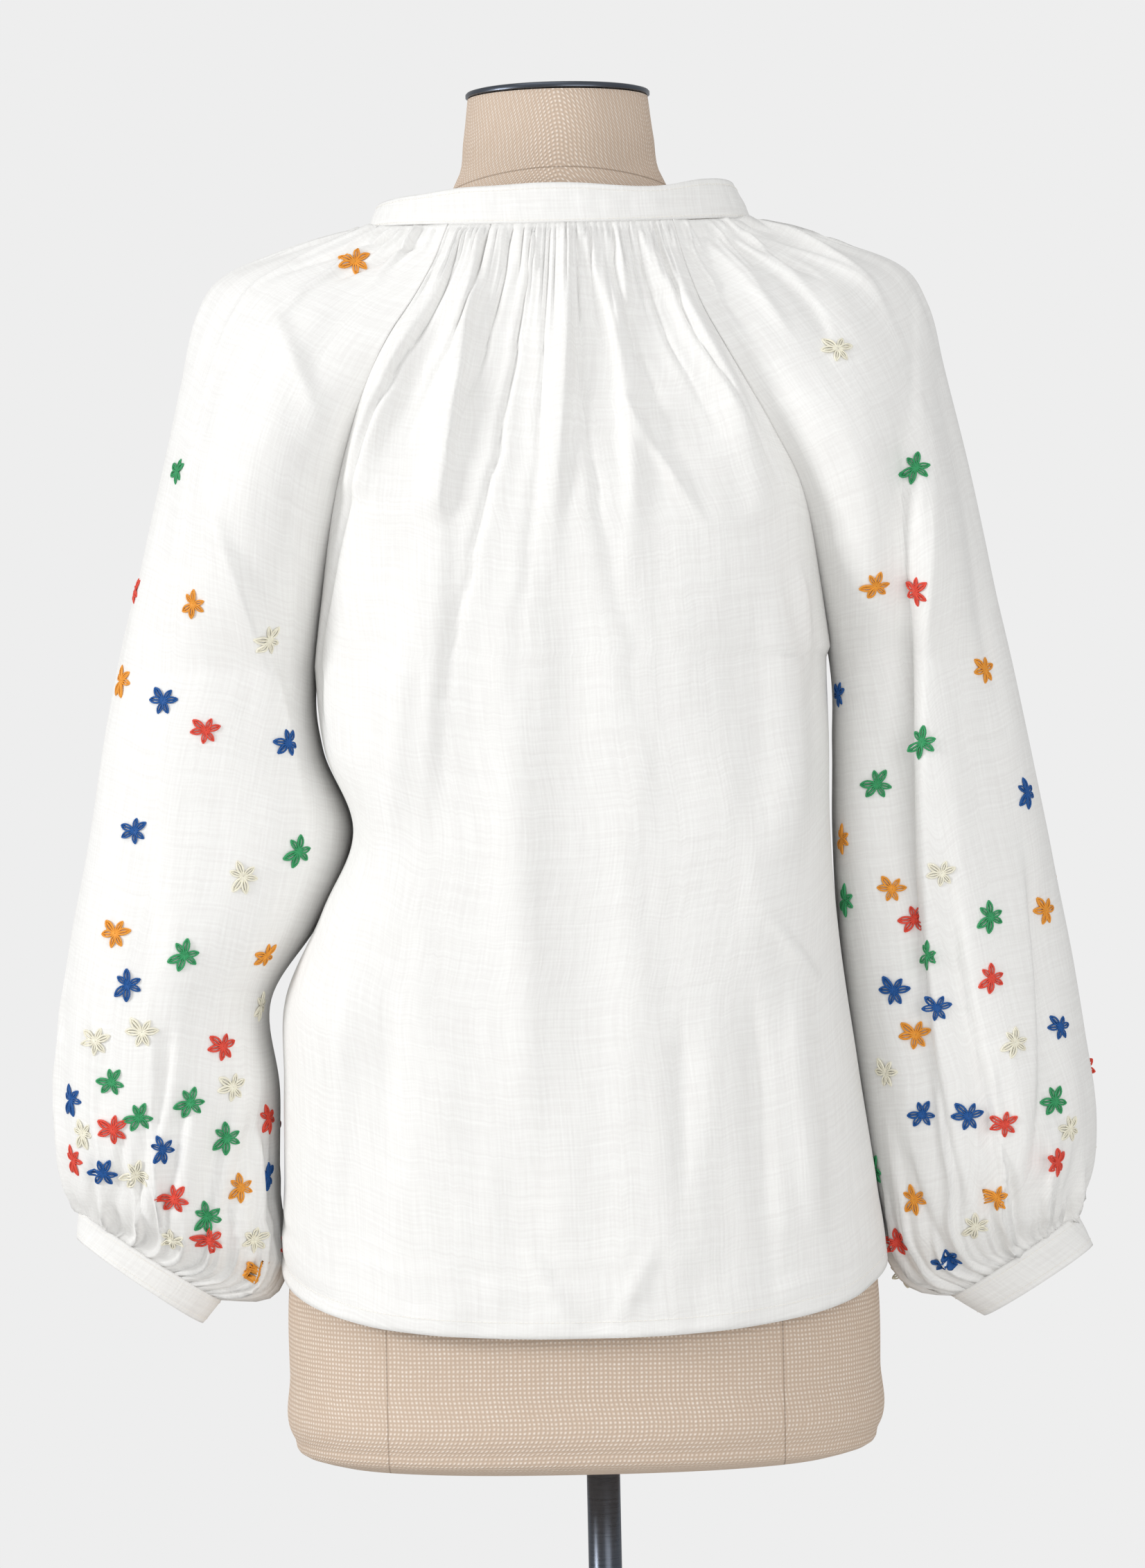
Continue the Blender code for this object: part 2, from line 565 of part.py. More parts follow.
def make_cuff(name, side, upper, lower, material, collection):
    """A cuff: a band between two tilted oval rings, given by their outer and inner ends."""
    angle = np.linspace(0, 2 * math.pi, CUFF_COLUMNS, endpoint=False)
    rings = []
    for outer_x, outer_z, inner_x, inner_z, depth in (upper, lower):
        x = (outer_x + inner_x) / 2 + (outer_x - inner_x) / 2 * np.cos(angle)
        z = (outer_z + inner_z) / 2 + (outer_z - inner_z) / 2 * np.cos(angle)
        rings.append(stack(side * x, depth * np.sin(angle), z))
    piece = add_piece(name, grid_mesh(name, np.array(rings), closed=True), material, collection)
    add_wall(piece, BAND_WALL)
    return piece


def make_torso(material, collection):
    """The padded torso and neck, lofted through its rings and closed above and below."""
    shape = bmesh.new()
    angle = np.linspace(0, 2 * math.pi, TORSO_COLUMNS, endpoint=False)
    rings = []
    for row in TORSO[1:]:
        ring = dict(zip(TORSO[0], row))
        power = 2 / ring["square"]
        x = ring["half_width"] * np.sign(np.cos(angle)) * np.abs(np.cos(angle)) ** power
        depth = np.where(np.sin(angle) > 0, ring["back"], -ring["front"])
        y = depth * np.sign(np.sin(angle)) * np.abs(np.sin(angle)) ** power
        rings.append([shape.verts.new(point * MM) for point in stack(x, y, ring["z"])])
    for lower, upper in zip(rings, rings[1:]):
        for j in range(TORSO_COLUMNS):
            k = (j + 1) % TORSO_COLUMNS
            shape.faces.new((lower[j], lower[k], upper[k], upper[j])).smooth = True
    shape.faces.new(reversed(rings[0]))
    shape.faces.new(rings[-1])
    mesh = bpy.data.meshes.new("torso")
    shape.to_mesh(mesh)
    shape.free()
    mesh.set_sharp_from_angle(angle=math.radians(50))
    return add_piece("torso", mesh, material, collection)


def make_disc(name, radius, height, base_z, x, material, collection, vertices, bevel):
    """An upright round piece with a soft edge, standing on base_z."""
    shape = bmesh.new()
    bmesh.ops.create_cone(shape, cap_ends=True, segments=vertices, radius1=radius * MM,
                          radius2=radius * MM, depth=height * MM)
    mesh = bpy.data.meshes.new(name)
    shape.to_mesh(mesh)
    shape.free()
    mesh.shade_smooth()
    mesh.set_sharp_from_angle(angle=math.radians(40))
    piece = add_piece(name, mesh, material, collection)
    piece.location = (x * MM, 0, (base_z + height / 2) * MM)
    if bevel:
        edge = piece.modifiers.new("Soft edge", "BEVEL")
        edge.width = bevel * MM
        edge.segments = 2
        edge.limit_method = "ANGLE"
    return piece


def make_stand(linen_top, steel, collection):
    """The neck cap, the pole and the base."""
    neck = dict(zip(TORSO[0], TORSO[-1]))
    cap = make_disc("neck_cap", 1.0 / MM, CAP_HEIGHT, CAP_Z, 0, steel, collection, 40, 0)
    rim = neck["half_width"] + CAP_RIM
    cap.data.transform(((rim * MM, 0, 0, 0), (0, (neck["back"] + CAP_RIM) * MM, 0, 0),
                        (0, 0, 1, 0), (0, 0, 0, 1)))
    edge = cap.modifiers.new("Soft edge", "BEVEL")
    edge.width = CAP_BEVEL * MM
    edge.segments = 2
    edge.limit_method = "ANGLE"
    hub_z = BASE_THICKNESS + TOUCH_GAP
    pole_z = hub_z + HUB_HEIGHT + TOUCH_GAP
    make_disc("base", BASE_RADIUS, BASE_THICKNESS, 0, POLE_X, steel, collection, 48, 2.0)
    make_disc("base_hub", HUB_RADIUS, HUB_HEIGHT, hub_z, POLE_X, steel, collection, 28, 2.0)
    pole_height = linen_top - TOUCH_GAP - pole_z
    make_disc("pole", POLE_RADIUS, pole_height, pole_z, POLE_X, steel, collection, 24, 0)


for old in list(bpy.data.objects):
    bpy.data.objects.remove(old)
part = bpy.data.collections.new(PART_NAME)
bpy.context.scene.collection.children.link(part)

cotton = make_material("White cotton voile", (0.86, 0.85, 0.82), 0.85)
linen = make_material("Natural linen", (0.52, 0.42, 0.31), 0.9)
dark_steel = make_material("Dark steel", (0.09, 0.10, 0.12), 0.35, 0.9)

make_body_panel("back_panel", False, BACK_ROWS, BACK_COLUMNS, BACK_FOLDS, BACK_GATHERS,
                cotton, part)
make_body_panel("front_panel", True, FRONT_ROWS, FRONT_COLUMNS, FRONT_FOLDS, FRONT_GATHERS,
                cotton, part)
make_sleeve("sleeve_left", SLEEVE_LEFT, 1, SLEEVE_LEFT_FOLDS, cotton, part)
make_sleeve("sleeve_right", SLEEVE_RIGHT, -1, SLEEVE_RIGHT_FOLDS, cotton, part)
make_collar(cotton, part)
make_cuff("cuff_left", 1, (299.6, 887.0, 218.8, 832.2, 21), (302, 872.5, 229, 820.5, 21),
          cotton, part)
make_cuff("cuff_right", -1, (295.7, 872.0, 222.8, 825.2, 21), (305, 855.0, 240, 815.0, 21),
          cotton, part)
make_torso(linen, part)
make_stand(TORSO[1][0], dark_steel, part)
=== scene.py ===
"""A white cotton raglan blouse with a band collar and embroidered sleeves, on a linen dress form.

The front faces -Y and the back +Y, and the wearer's left side is +X. Tables and sizes of the cloth
are in millimetres.
"""

import math

import bpy
import numpy as np
from mathutils import Euler, Matrix, Vector
from mathutils.bvhtree import BVHTree


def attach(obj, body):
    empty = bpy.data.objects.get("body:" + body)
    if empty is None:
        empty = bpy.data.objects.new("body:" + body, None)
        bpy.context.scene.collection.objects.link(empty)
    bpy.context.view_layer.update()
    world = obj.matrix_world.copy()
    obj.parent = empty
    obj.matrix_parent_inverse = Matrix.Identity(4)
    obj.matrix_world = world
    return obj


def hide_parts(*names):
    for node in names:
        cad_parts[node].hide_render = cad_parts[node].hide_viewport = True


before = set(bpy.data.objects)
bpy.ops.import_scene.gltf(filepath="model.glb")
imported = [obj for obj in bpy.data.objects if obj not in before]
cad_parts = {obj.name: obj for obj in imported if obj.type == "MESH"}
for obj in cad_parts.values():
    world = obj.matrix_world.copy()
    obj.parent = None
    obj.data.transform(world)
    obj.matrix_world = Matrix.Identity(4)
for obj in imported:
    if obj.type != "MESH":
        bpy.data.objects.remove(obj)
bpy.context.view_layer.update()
MM = 0.001

# The place and the light.
# The blouse is seen from behind in a pale, even studio. A broad soft light comes from the wearer's
# left, with weaker ones from above and from behind the viewer, over a pale round floor.
CAMERA_AT = (0.0, 3.0, 1.138)
CAMERA_ROLL_DEG = -1.25
VIEW_HEIGHT, SENSOR = 0.940, 36.0
WORLD_GREY, AMBIENT = "#eeeeee", 0.62
LAMPS_AIM = (0, 0, 1.15)
LAMPS = (
    ("name", "watts", "size", "place"),
    ("Key", 48.0, 0.9, (2.9, 1.3, 1.9)),
    ("Top", 8.0, 1.6, (0.4, 0.8, 3.4)),
    ("Fill", 39.0, 2.2, (-1.3, 3.2, 1.5)),
)
FLOOR_RADIUS, FLOOR_CORNERS, FLOOR_SPECKS_A_METRE = 2.5, 96, 40.0


def linear(code):
    """A colour given as an sRGB hex code, in the linear values that the renderer uses."""
    parts = [int(code[i:i + 2], 16) / 255 for i in (1, 3, 5)]
    return (*(c / 12.92 if c <= 0.04045 else ((c + 0.055) / 1.055) ** 2.4 for c in parts), 1.0)


def add(tree, kind, values=None, **settings):
    """Adds a node with its settings, and fills its inputs with numbers or with links."""
    made = tree.nodes.new(kind)
    for name, value in settings.items():
        setattr(made, name, value)
    for key, value in (values or {}).items():
        if isinstance(value, bpy.types.NodeSocket):
            tree.links.new(value, made.inputs[key])
        else:
            made.inputs[key].default_value = value
    return made


def new_finish(name, roughness):
    """A material with its shader ready to be dressed."""
    material = bpy.data.materials.new(name)
    material.use_nodes = True
    shader = material.node_tree.nodes["Principled BSDF"]
    shader.inputs["Roughness"].default_value = roughness
    return material, material.node_tree, shader


def new_object(name, data):
    """An object of that name and data, put in the scene."""
    made = bpy.data.objects.new(name, data)
    bpy.context.scene.collection.objects.link(made)
    return made


camera_data = bpy.data.cameras.new("Camera")
camera_data.sensor_width = SENSOR
camera_data.lens = SENSOR * CAMERA_AT[1] / VIEW_HEIGHT
camera = new_object("Camera", camera_data)
level = Euler((math.pi / 2, 0, math.pi)).to_matrix()
camera.rotation_euler = (level @ Matrix.Rotation(math.radians(CAMERA_ROLL_DEG), 3, "Z")).to_euler()
camera.location = CAMERA_AT
bpy.context.scene.camera = camera

world = bpy.data.worlds.new("Studio")
world.use_nodes = True
backdrop = world.node_tree.nodes["Background"]
backdrop.inputs["Color"].default_value = linear(WORLD_GREY)
soft = add(world.node_tree, "ShaderNodeBackground", {
    "Color": linear(WORLD_GREY), "Strength": AMBIENT})
seen = add(world.node_tree, "ShaderNodeLightPath")
studio = add(world.node_tree, "ShaderNodeMixShader", {
    0: seen.outputs["Is Camera Ray"], 1: soft.outputs[0], 2: backdrop.outputs[0]})
world.node_tree.links.new(studio.outputs[0], world.node_tree.nodes["World Output"].inputs[0])
bpy.context.scene.world = world
bpy.context.scene.view_settings.view_transform = "Standard"

for lamp_name, watts, size, place in LAMPS[1:]:
    lamp_data = bpy.data.lights.new(lamp_name, "AREA")
    lamp_data.energy = watts
    lamp_data.size = size
    lamp = new_object(lamp_name, lamp_data)
    lamp.location = place
    lamp.rotation_euler = (Vector(LAMPS_AIM) - Vector(place)).to_track_quat("-Z", "Y").to_euler()

plaster, tree, shader = new_finish("Pale painted floor", 0.8)
place = add(tree, "ShaderNodeTexCoord").outputs["Object"]
speckle = add(tree, "ShaderNodeTexNoise", {
    "Vector": place, "Scale": FLOOR_SPECKS_A_METRE, "Detail": 3.0})
shade = add(tree, "ShaderNodeMix", {
    0: speckle.outputs["Fac"], 6: linear("#e9e8e6"), 7: linear("#e4e3e1")}, data_type="RGBA")
tree.links.new(shade.outputs[2], shader.inputs["Base Color"])
angles = np.linspace(0, 2 * math.pi, FLOOR_CORNERS, endpoint=False)
rim = [(FLOOR_RADIUS * math.cos(a), FLOOR_RADIUS * math.sin(a), 0.0) for a in angles]
floor_mesh = bpy.data.meshes.new("Floor")
floor_mesh.from_pydata(rim, [], [list(range(len(rim)))])
floor_mesh.materials.append(plaster)
floor = new_object("Floor", floor_mesh)

# The back and the front.
# Each is cut in one from white cotton voile, gathered into the collar seam, with slanting raglan
# armholes and a curved shirt-tail hem turned up twice. The front has a short slit at the neck.
CLOTH_WALL, WELD_REACH = 0.7, 0.02
SEAM_GAP, FOLDED_SEAM_GAP, SIDE_SEAM_GAP = -0.5, -0.4, 0.5
SEAM_DIP, SEAM_DIP_REACH = 0.5, 0.016
FRONT_SEAM_DROP, FRONT_SEAM_DEEPER = 28.5, 0.15
UNDERARM_AT, UNDERARM_ROW = 0.50, 0.40
NECK_SLIT_DEPTH_ROW, NECK_SLIT_HALF_WIDTH = 0.17, 1.0
BACK_ROWS, BACK_COLUMNS, BACK_LENGTH = 210, 160, 650.0
FRONT_ROWS, FRONT_COLUMNS, FRONT_LENGTH = 130, 120, 600.0
HEM_TURN_UP, HEM_LINE_DIP, HEM_LINE_WIDTH = 10, 0.5, 1.6
HEM_PUCKER_HEIGHT, HEM_PUCKER_SIZE = 1.4, (30, 9)
HEM_PUCKERS_START, HEM_PUCKERS_FADE = (0, 8), (20, 75)
FOLDS_FROM_SIDE, GATHERS_FROM_SIDE, FOLDS_FROM_NECK = 0.14, 0.05, 0.012
# A wave texture of scale 1 draws 3.18 bands a metre. The slubs and the crumples are so many a metre
# across and along.
COTTON_REPEAT, BANDS_A_METRE = 2.2, 3.18
LONG_SLUBS, CROSS_SLUBS, CRUMPLES = (700, 26, 1), (22, 620, 1), (90, 40, 1)

# Gathers come in three sizes. Each row gives its share of the count, its depth, how far down it
# starts to die away and has ended, and what it adds to the seed.
BACK_GATHERS, FRONT_GATHERS = 21, 17
GATHER_DEPTH, LONG_GATHER_DEPTH = 1.9, 2.0
GATHER_SHIFT, GATHER_WAVER = 0.50, 0.07
DEPTH_VARIES, REACH_VARIES = 0.65, 0.6
FURROW_WIDTH, FURROW_SHARPNESS, FURROW_DEPTH = 0.10, 1.3, 2.0
CROWN_HEIGHT, CROWN_LEVEL = 0.35, 0.5
BODY_GATHERING = (
    (1.9, 0.6 * GATHER_DEPTH, 4, 22, 30),
    (1, GATHER_DEPTH, 22, 80, 0),
    (0.45, LONG_GATHER_DEPTH, 70, 260, 10),
)
# Shallow bumps, each with its height, its size across and down, and what it adds to the seed.
BODY_BUMPS = ((0.9, 13, 60, 20), (2.6, 28, 150, 21))
BUMP_CELLS, BUMP_START = 97, 400

# The sleeves' two edges come first, because the armholes follow them. out_ is the line over the
# shoulder and down the outside, seam_ the raglan seam at the back and the underarm seam below it.
SLEEVE_LEFT = (
    ("at", "out_x", "out_z", "seam_x", "seam_y", "seam_z", "turn", "back_pull", "front_pull"),
    (0.000, 114, 1473.0, 66, 64, 1468, -26, 92, 105),
    (0.080, 166, 1460.5, 76, 73, 1443, -14, 112, 125),
    (0.150, 210, 1440.0, 90, 82, 1419, 0, 136, 150),
    (0.185, 220, 1422.0, 99, 86, 1406, 8, 150, 165),
    (0.250, 230, 1380.0, 113, 87, 1380, 24, 180, 190),
    (0.320, 240, 1332.0, 125, 82, 1347, 44, 210, 215),
    (0.400, 252, 1280.0, 137, 62, 1302, 66, 236, 236),
    (0.460, 263, 1240.0, 145, 34, 1256, 82, 252, 250),
    (0.500, 271, 1209.0, 152, 0, 1211, 90, 258, 256),
    (0.580, 282, 1158.0, 150, 0, 1162, 90, 266, 262),
    (0.660, 293, 1104.0, 133, 0, 1112, 90, 276, 266),
    (0.740, 303, 1052.0, 155, 0, 1058, 90, 286, 276),
    (0.800, 309, 1010.0, 184, 0, 1014, 90, 280, 276),
    (0.870, 313, 965.0, 180, 0, 955, 90, 270, 270),
    (0.920, 312, 930.0, 181, 0, 900, 90, 250, 250),
    (0.960, 308, 905.0, 179, 0, 852, 90, 190, 190),
    (0.985, 303, 893.0, 194, 0, 835, 90, 112, 112),
    (1.000, 299, 888.0, 217, 0, 834, 90, 84, 84),
)
SLEEVE_RIGHT = (
    ("at", "out_x", "out_z", "seam_x", "seam_y", "seam_z", "turn", "back_pull", "front_pull"),
    (0.000, 114, 1473.0, 66, 64, 1468, -26, 92, 105),
    (0.080, 166, 1459.5, 73, 73, 1441, -14, 112, 125),
    (0.150, 209, 1439.0, 84, 82, 1412, 0, 136, 150),
    (0.185, 218, 1421.0, 92, 86, 1397, 8, 150, 165),
    (0.250, 227, 1384.0, 106, 88, 1372, 24, 180, 190),
    (0.320, 238, 1338.0, 122, 84, 1343, 44, 210, 215),
    (0.400, 250, 1280.0, 140, 66, 1304, 66, 236, 236),
    (0.460, 258, 1238.0, 149, 36, 1256, 82, 250, 250),
    (0.500, 265, 1205.0, 156, 0, 1211, 90, 258, 256),
    (0.580, 275, 1150.0, 157, 0, 1158, 90, 266, 262),
    (0.660, 286, 1088.0, 156, 0, 1106, 90, 272, 266),
    (0.740, 295, 1030.0, 158, 0, 1050, 90, 276, 270),
    (0.800, 301, 985.0, 163, 0, 1000, 90, 276, 270),
    (0.870, 307, 935.0, 170, 0, 945, 90, 266, 262),
    (0.920, 306, 903.0, 177, 0, 893, 90, 240, 240),
    (0.960, 301, 884.0, 186, 0, 851, 90, 180, 180),
    (0.985, 297, 876.0, 202, 0, 833, 90, 110, 110),
    (1.000, 295, 873.0, 221, 0, 827, 90, 84, 84),
)

# The rings of the body: the middle of the back and of the front from neckline to hem, the side
# seams past the underarm, and how square each ring is.
BODY = (
    ("at", "back_y", "back_z", "front_y", "front_z", "left_x", "right_x", "side_z", "square"),
    (0.00, 78, 1466.5, -92, 1424, 152, 156, 1211, 2.0),
    (0.05, 88, 1436.0, -101, 1398, 152, 156, 1211, 2.0),
    (0.12, 98, 1392.0, -113, 1363, 152, 156, 1211, 2.0),
    (0.22, 108, 1330.0, -124, 1313, 152, 156, 1211, 2.1),
    (0.32, 113, 1265.0, -128, 1258, 152, 156, 1211, 2.3),
    (0.40, 115, 1211.0, -128, 1211, 152, 153, 1211, 2.6),
    (0.48, 116, 1160.0, -127, 1160, 147, 153, 1163, 3.0),
    (0.56, 118, 1108.0, -126, 1108, 130, 152, 1114, 3.4),
    (0.64, 119, 1056.0, -126, 1056, 150, 154, 1065, 3.4),
    (0.72, 121, 1003.0, -127, 1003, 173, 159, 1016, 3.0),
    (0.80, 124, 950.0, -128, 950, 175, 166, 968, 2.7),
    (0.90, 129, 885.0, -130, 885, 176.5, 174, 911, 2.5),
    (1.00, 133, 820.0, -132, 826, 179.5, 181, 857, 2.4),
)

# The neckline is an oval ring that dips towards the front. The gathered edges of the front and of
# the sleeves' fronts are drawn up to it, which fades out within the reach below.
NECK_HALF_WIDTH, NECK_BACK_DEPTH, NECK_FRONT_DEPTH = 114.0, 78.0, 92.0
NECK_BACK_Z, NECK_SHOULDER_Z, NECK_FRONT_Z = 1466.5, 1473.0, 1424.0
MEET_WIDTH, MEET_REACH = 12.0, 45.0

# Folds seen from behind. Each runs down through three places; lift is how far it stands out, or
# sinks where it is negative, and the two spreads are its reach on the +X and -X sides.
FOLDS = ("top_x", "top_z", "mid_x", "mid_z", "end_x", "end_z", "lift", "spread_l", "spread_r",
         "start", "end")
RIDGE_POWER, TROUGH_POWER = 2.0, 1.4
FOLD_RISEN, FOLD_EASES, FOLD_FADE = 0.3, 0.6, 0.12
BACK_FOLDS = (
    FOLDS,
    (56, 1459, 64, 1445, 75, 1417, 4.0, 6, 4, 0.7, 0.1),
    (48, 1458, 53, 1421, 72, 1305, 9.0, 13, 3.5, 0.6, 0.5),
    (60, 1381, 64, 1353, 72, 1305, 3.5, 8, 3, 0.2, 0.4),
    (72, 1305, 78, 1212, 92, 1092, 4.5, 15, 7, 0.6, 0.1),
    (36, 1461, 44, 1433, 53, 1405, 4.0, 6, 4, 0.7, 0.1),
    (16, 1460, 18, 1452, 10, 1428, 3.5, 5, 4, 0.7, 0.1),
    (-6, 1460, -2, 1392, 8, 1271, 7.0, 9, 3.5, 0.5, 0.15),
    (-13, 1458, -26, 1415, -35, 1270, 6.0, 4, 9, 0.5, 0.2),
    (-31, 1457, -36, 1423, -29, 1395, 4.0, 5, 4, 0.6, 0.1),
    (-49, 1457, -58, 1430, -70, 1410, 4.0, 6, 4, 0.7, 0.1),
    (-66, 1440, -84, 1397, -113, 1300, 9.5, 11, 7, 0.4, 0.4),
    (80, 1435, 96, 1394, 122, 1318, 9.5, 8, 11, 0.4, 0.4),
    (-27, 1371, -50, 1334, -81, 1285, 4.0, 6, 3.5, 0.1, 0.1),
    (88, 1253, 100, 1170, 112, 1060, 8.0, 14, 10, 0.2, 0.2),
    (-118, 1260, -126, 1170, -116, 1066, 8.0, 12, 12, 0.2, 0.2),
    (-133, 1268, -138, 1236, -139, 1198, 4.0, 6, 4, 0.2, 0.3),
    (-112, 1060, -126, 1040, -142, 1018, 4.0, 6, 3.5, 0.2, 0.3),
    (30, 873, 19, 850, 6, 828, 2.5, 5, 3, 0.3, 0.5),
    (-40, 873, -29, 849, -17, 828, 2.5, 3, 5, 0.3, 0.5),
    (-60, 1009, -59, 948, -57, 880, -4.0, 8, 7, 0.1, 0.3),
    (-101, 1028, -105, 928, -110, 848, -5.0, 9, 6, 0.1, 0.3),
    (-127, 1028, -129, 940, -138, 860, 5.5, 8, 9, 0.1, 0.3),
    (136, 1030, 141, 940, 148, 860, 5.5, 9, 8, 0.1, 0.3),
    (110, 1040, 112, 950, 118, 850, -4.5, 10, 9, 0.1, 0.3),
    (30, 1230, 34, 1100, 30, 900, 2.5, 15, 12, 0.1, 0.3),
    (-10, 1200, -14, 1050, -8, 880, -2.5, 14, 14, 0.1, 0.3),
)
FRONT_FOLDS = (
    FOLDS,
    (50, 1410, 58, 1350, 70, 1240, 5.0, 11, 5, 0.5, 0.2),
    (-46, 1408, -56, 1350, -68, 1235, 5.0, 5, 11, 0.5, 0.2),
    (26, 1405, 30, 1340, 34, 1220, -3.5, 7, 8, 0.4, 0.1),
    (-28, 1405, -32, 1330, -38, 1200, -3.5, 8, 6, 0.4, 0.1),
    (82, 1400, 100, 1350, 122, 1280, 6.0, 9, 11, 0.2, 0.3),
    (-80, 1400, -98, 1350, -120, 1280, 6.0, 11, 8, 0.2, 0.3),
    (104, 1240, 102, 1150, 108, 1040, 6.0, 12, 13, 0.2, 0.2),
    (-108, 1240, -118, 1150, -112, 1040, 6.0, 14, 11, 0.2, 0.2),
    (60, 1120, 64, 980, 72, 850, 4.0, 14, 10, 0.1, 0.3),
    (-48, 1150, -54, 1000, -60, 860, 4.0, 11, 15, 0.1, 0.3),
    (8, 1180, 4, 1000, -4, 850, -3.0, 14, 12, 0.1, 0.3),
)


def read(table, field, at):
    """One named column of a table at the places given, on a smooth curve through its rows."""
    rows = np.array(table[1:], float)
    places = rows[:, 0]
    values = rows[:, table[0].index(field)]
    slopes = np.gradient(values, places)
    at = np.clip(at, places[0], places[-1])
    k = np.clip(np.searchsorted(places, at, side="right") - 1, 0, len(places) - 2)
    step = places[k + 1] - places[k]
    t = (at - places[k]) / step
    value = values[k] * (1 + 2 * t) * (1 - t) ** 2 + values[k + 1] * t * t * (3 - 2 * t)
    return value + step * (slopes[k] * t * (1 - t) ** 2 + slopes[k + 1] * t * t * (t - 1))


def smooth(low, high, value):
    """Rises from 0 at low to 1 at high, with soft ends."""
    t = np.clip((value - low) / (high - low), 0, 1)
    return t * t * (3 - 2 * t)


def hermite(start, end, leave, arrive, t):
    """A curve between two points that leaves and arrives along two vectors."""
    t = t[..., None]
    return (start * (1 + 2 * t) * (1 - t) ** 2 + leave * t * (1 - t) ** 2
            + end * t * t * (3 - 2 * t) + arrive * t * t * (t - 1))


def stack(x, y, z):
    """Points from three arrays of any matching shape."""
    return np.stack(np.broadcast_arrays(x, y, z), axis=-1)


def seam_gap(at):
    """The room at a raglan seam, wider where the two pieces fold back on each other."""
    return SEAM_GAP + (FOLDED_SEAM_GAP - SEAM_GAP) * smooth(0.0, 0.8 * UNDERARM_AT, at)


def front_seam(at, seam_y, seam_z):
    """The raglan seam on the front, lower at the neck and meeting the back one underarm."""
    rest = 1 - smooth(0.0, UNDERARM_AT, at)
    deeper = 1 + FRONT_SEAM_DEEPER * rest
    return -seam_y * deeper, seam_z - FRONT_SEAM_DROP * rest


def neckline(angle):
    """The seam ring at an angle in radians from +X towards +Y."""
    depth = np.where(np.sin(angle) > 0, NECK_BACK_DEPTH, NECK_FRONT_DEPTH)
    x = NECK_HALF_WIDTH * np.cos(angle)
    y = depth * np.sin(angle)
    lowest = np.where(np.sin(angle) > 0, NECK_BACK_Z, NECK_FRONT_Z)
    z = NECK_SHOULDER_Z + (lowest - NECK_SHOULDER_Z) * np.sin(angle) ** 2
    return x, y, z


def meet_band(points):
    """Draws the gathered edge of the front and of a sleeve's front up to the neckline's ring."""
    edge = points[:1]
    ring = stack(*neckline(np.arctan2(edge[..., 1] / NECK_FRONT_DEPTH,
                                      edge[..., 0] / NECK_HALF_WIDTH)))
    far = np.linalg.norm(points - edge, axis=-1)
    near = smooth(0, MEET_WIDTH, -edge[..., 1]) * (1 - smooth(0, MEET_REACH, far))
    return points + (ring - edge) * near[..., None]


def raglan_edge(table, side, at, front):
    """The edge of a body panel along the raglan seam, just inside the sleeve's edge."""
    seam_x = read(table, "seam_x", at) - seam_gap(at) / 2
    seam_y = np.maximum(read(table, "seam_y", at), 0.0)
    seam_z = read(table, "seam_z", at)
    if front:
        seam_y, seam_z = front_seam(at, seam_y, seam_z)
    return stack(side * seam_x, seam_y, seam_z)


def body_grid(front, rows, columns):
    """A body panel: rows from neckline to hem, columns from the right side to the left."""
    at = np.linspace(0, 1, rows + 1)[:, None]
    across = np.linspace(-1, 1, columns + 1)[None, :]
    face, sign = ("front", -1) if front else ("back", 1)
    mid_y, mid_z = read(BODY, face + "_y", at), read(BODY, face + "_z", at)
    power = 2 / read(BODY, "square", at)
    angle = across * math.pi / 2
    wide = np.sign(across) * np.abs(np.sin(angle)) ** power
    deep = np.abs(np.cos(angle)) ** power
    seam_at = UNDERARM_AT * np.clip(at / UNDERARM_ROW, 0, 1)
    side_y, side_z = SIDE_SEAM_GAP / 2, read(BODY, "side_z", at)
    edges = []
    for table, side, name in ((SLEEVE_LEFT, 1, "left_x"), (SLEEVE_RIGHT, -1, "right_x")):
        side_x = side * (read(BODY, name, at) - FOLDED_SEAM_GAP / 2)
        edge = np.where((at >= UNDERARM_ROW)[..., None], stack(side_x, sign * side_y, side_z),
                        raglan_edge(table, side, seam_at, front))
        edge[..., 1] = sign * np.maximum(np.abs(edge[..., 1]), side_y)
        edges.append(edge)
    edge_l, edge_r = edges
    share = (across + 1) / 2
    level = edge_r * (1 - share[..., None]) + edge_l * share[..., None]
    half = np.where(across > 0, edge_l[..., 0], -edge_r[..., 0])
    bow = 1 - across ** 2
    fold_in = smooth(0.0, UNDERARM_ROW, at)
    x = (1 - fold_in) * level[..., 0] + fold_in * half * wide
    y_bowed = level[..., 1] + (mid_y - level[..., 1]) * bow
    y_round = level[..., 1] + (mid_y - level[..., 1]) * deep
    y = (1 - fold_in) * y_bowed + fold_in * y_round
    z = level[..., 2] + (mid_z - level[..., 2]) * bow
    points = stack(x, y, z)
    return meet_band(points) if front else points


def outward(points):
    """Unit normals of a grid of points, taken from its neighbours along rows and columns."""
    down = np.gradient(points, axis=0)
    along = np.gradient(points, axis=1)
    normal = np.cross(along, down)
    size = np.linalg.norm(normal, axis=-1, keepdims=True)
    return normal / np.maximum(size, 1e-9)


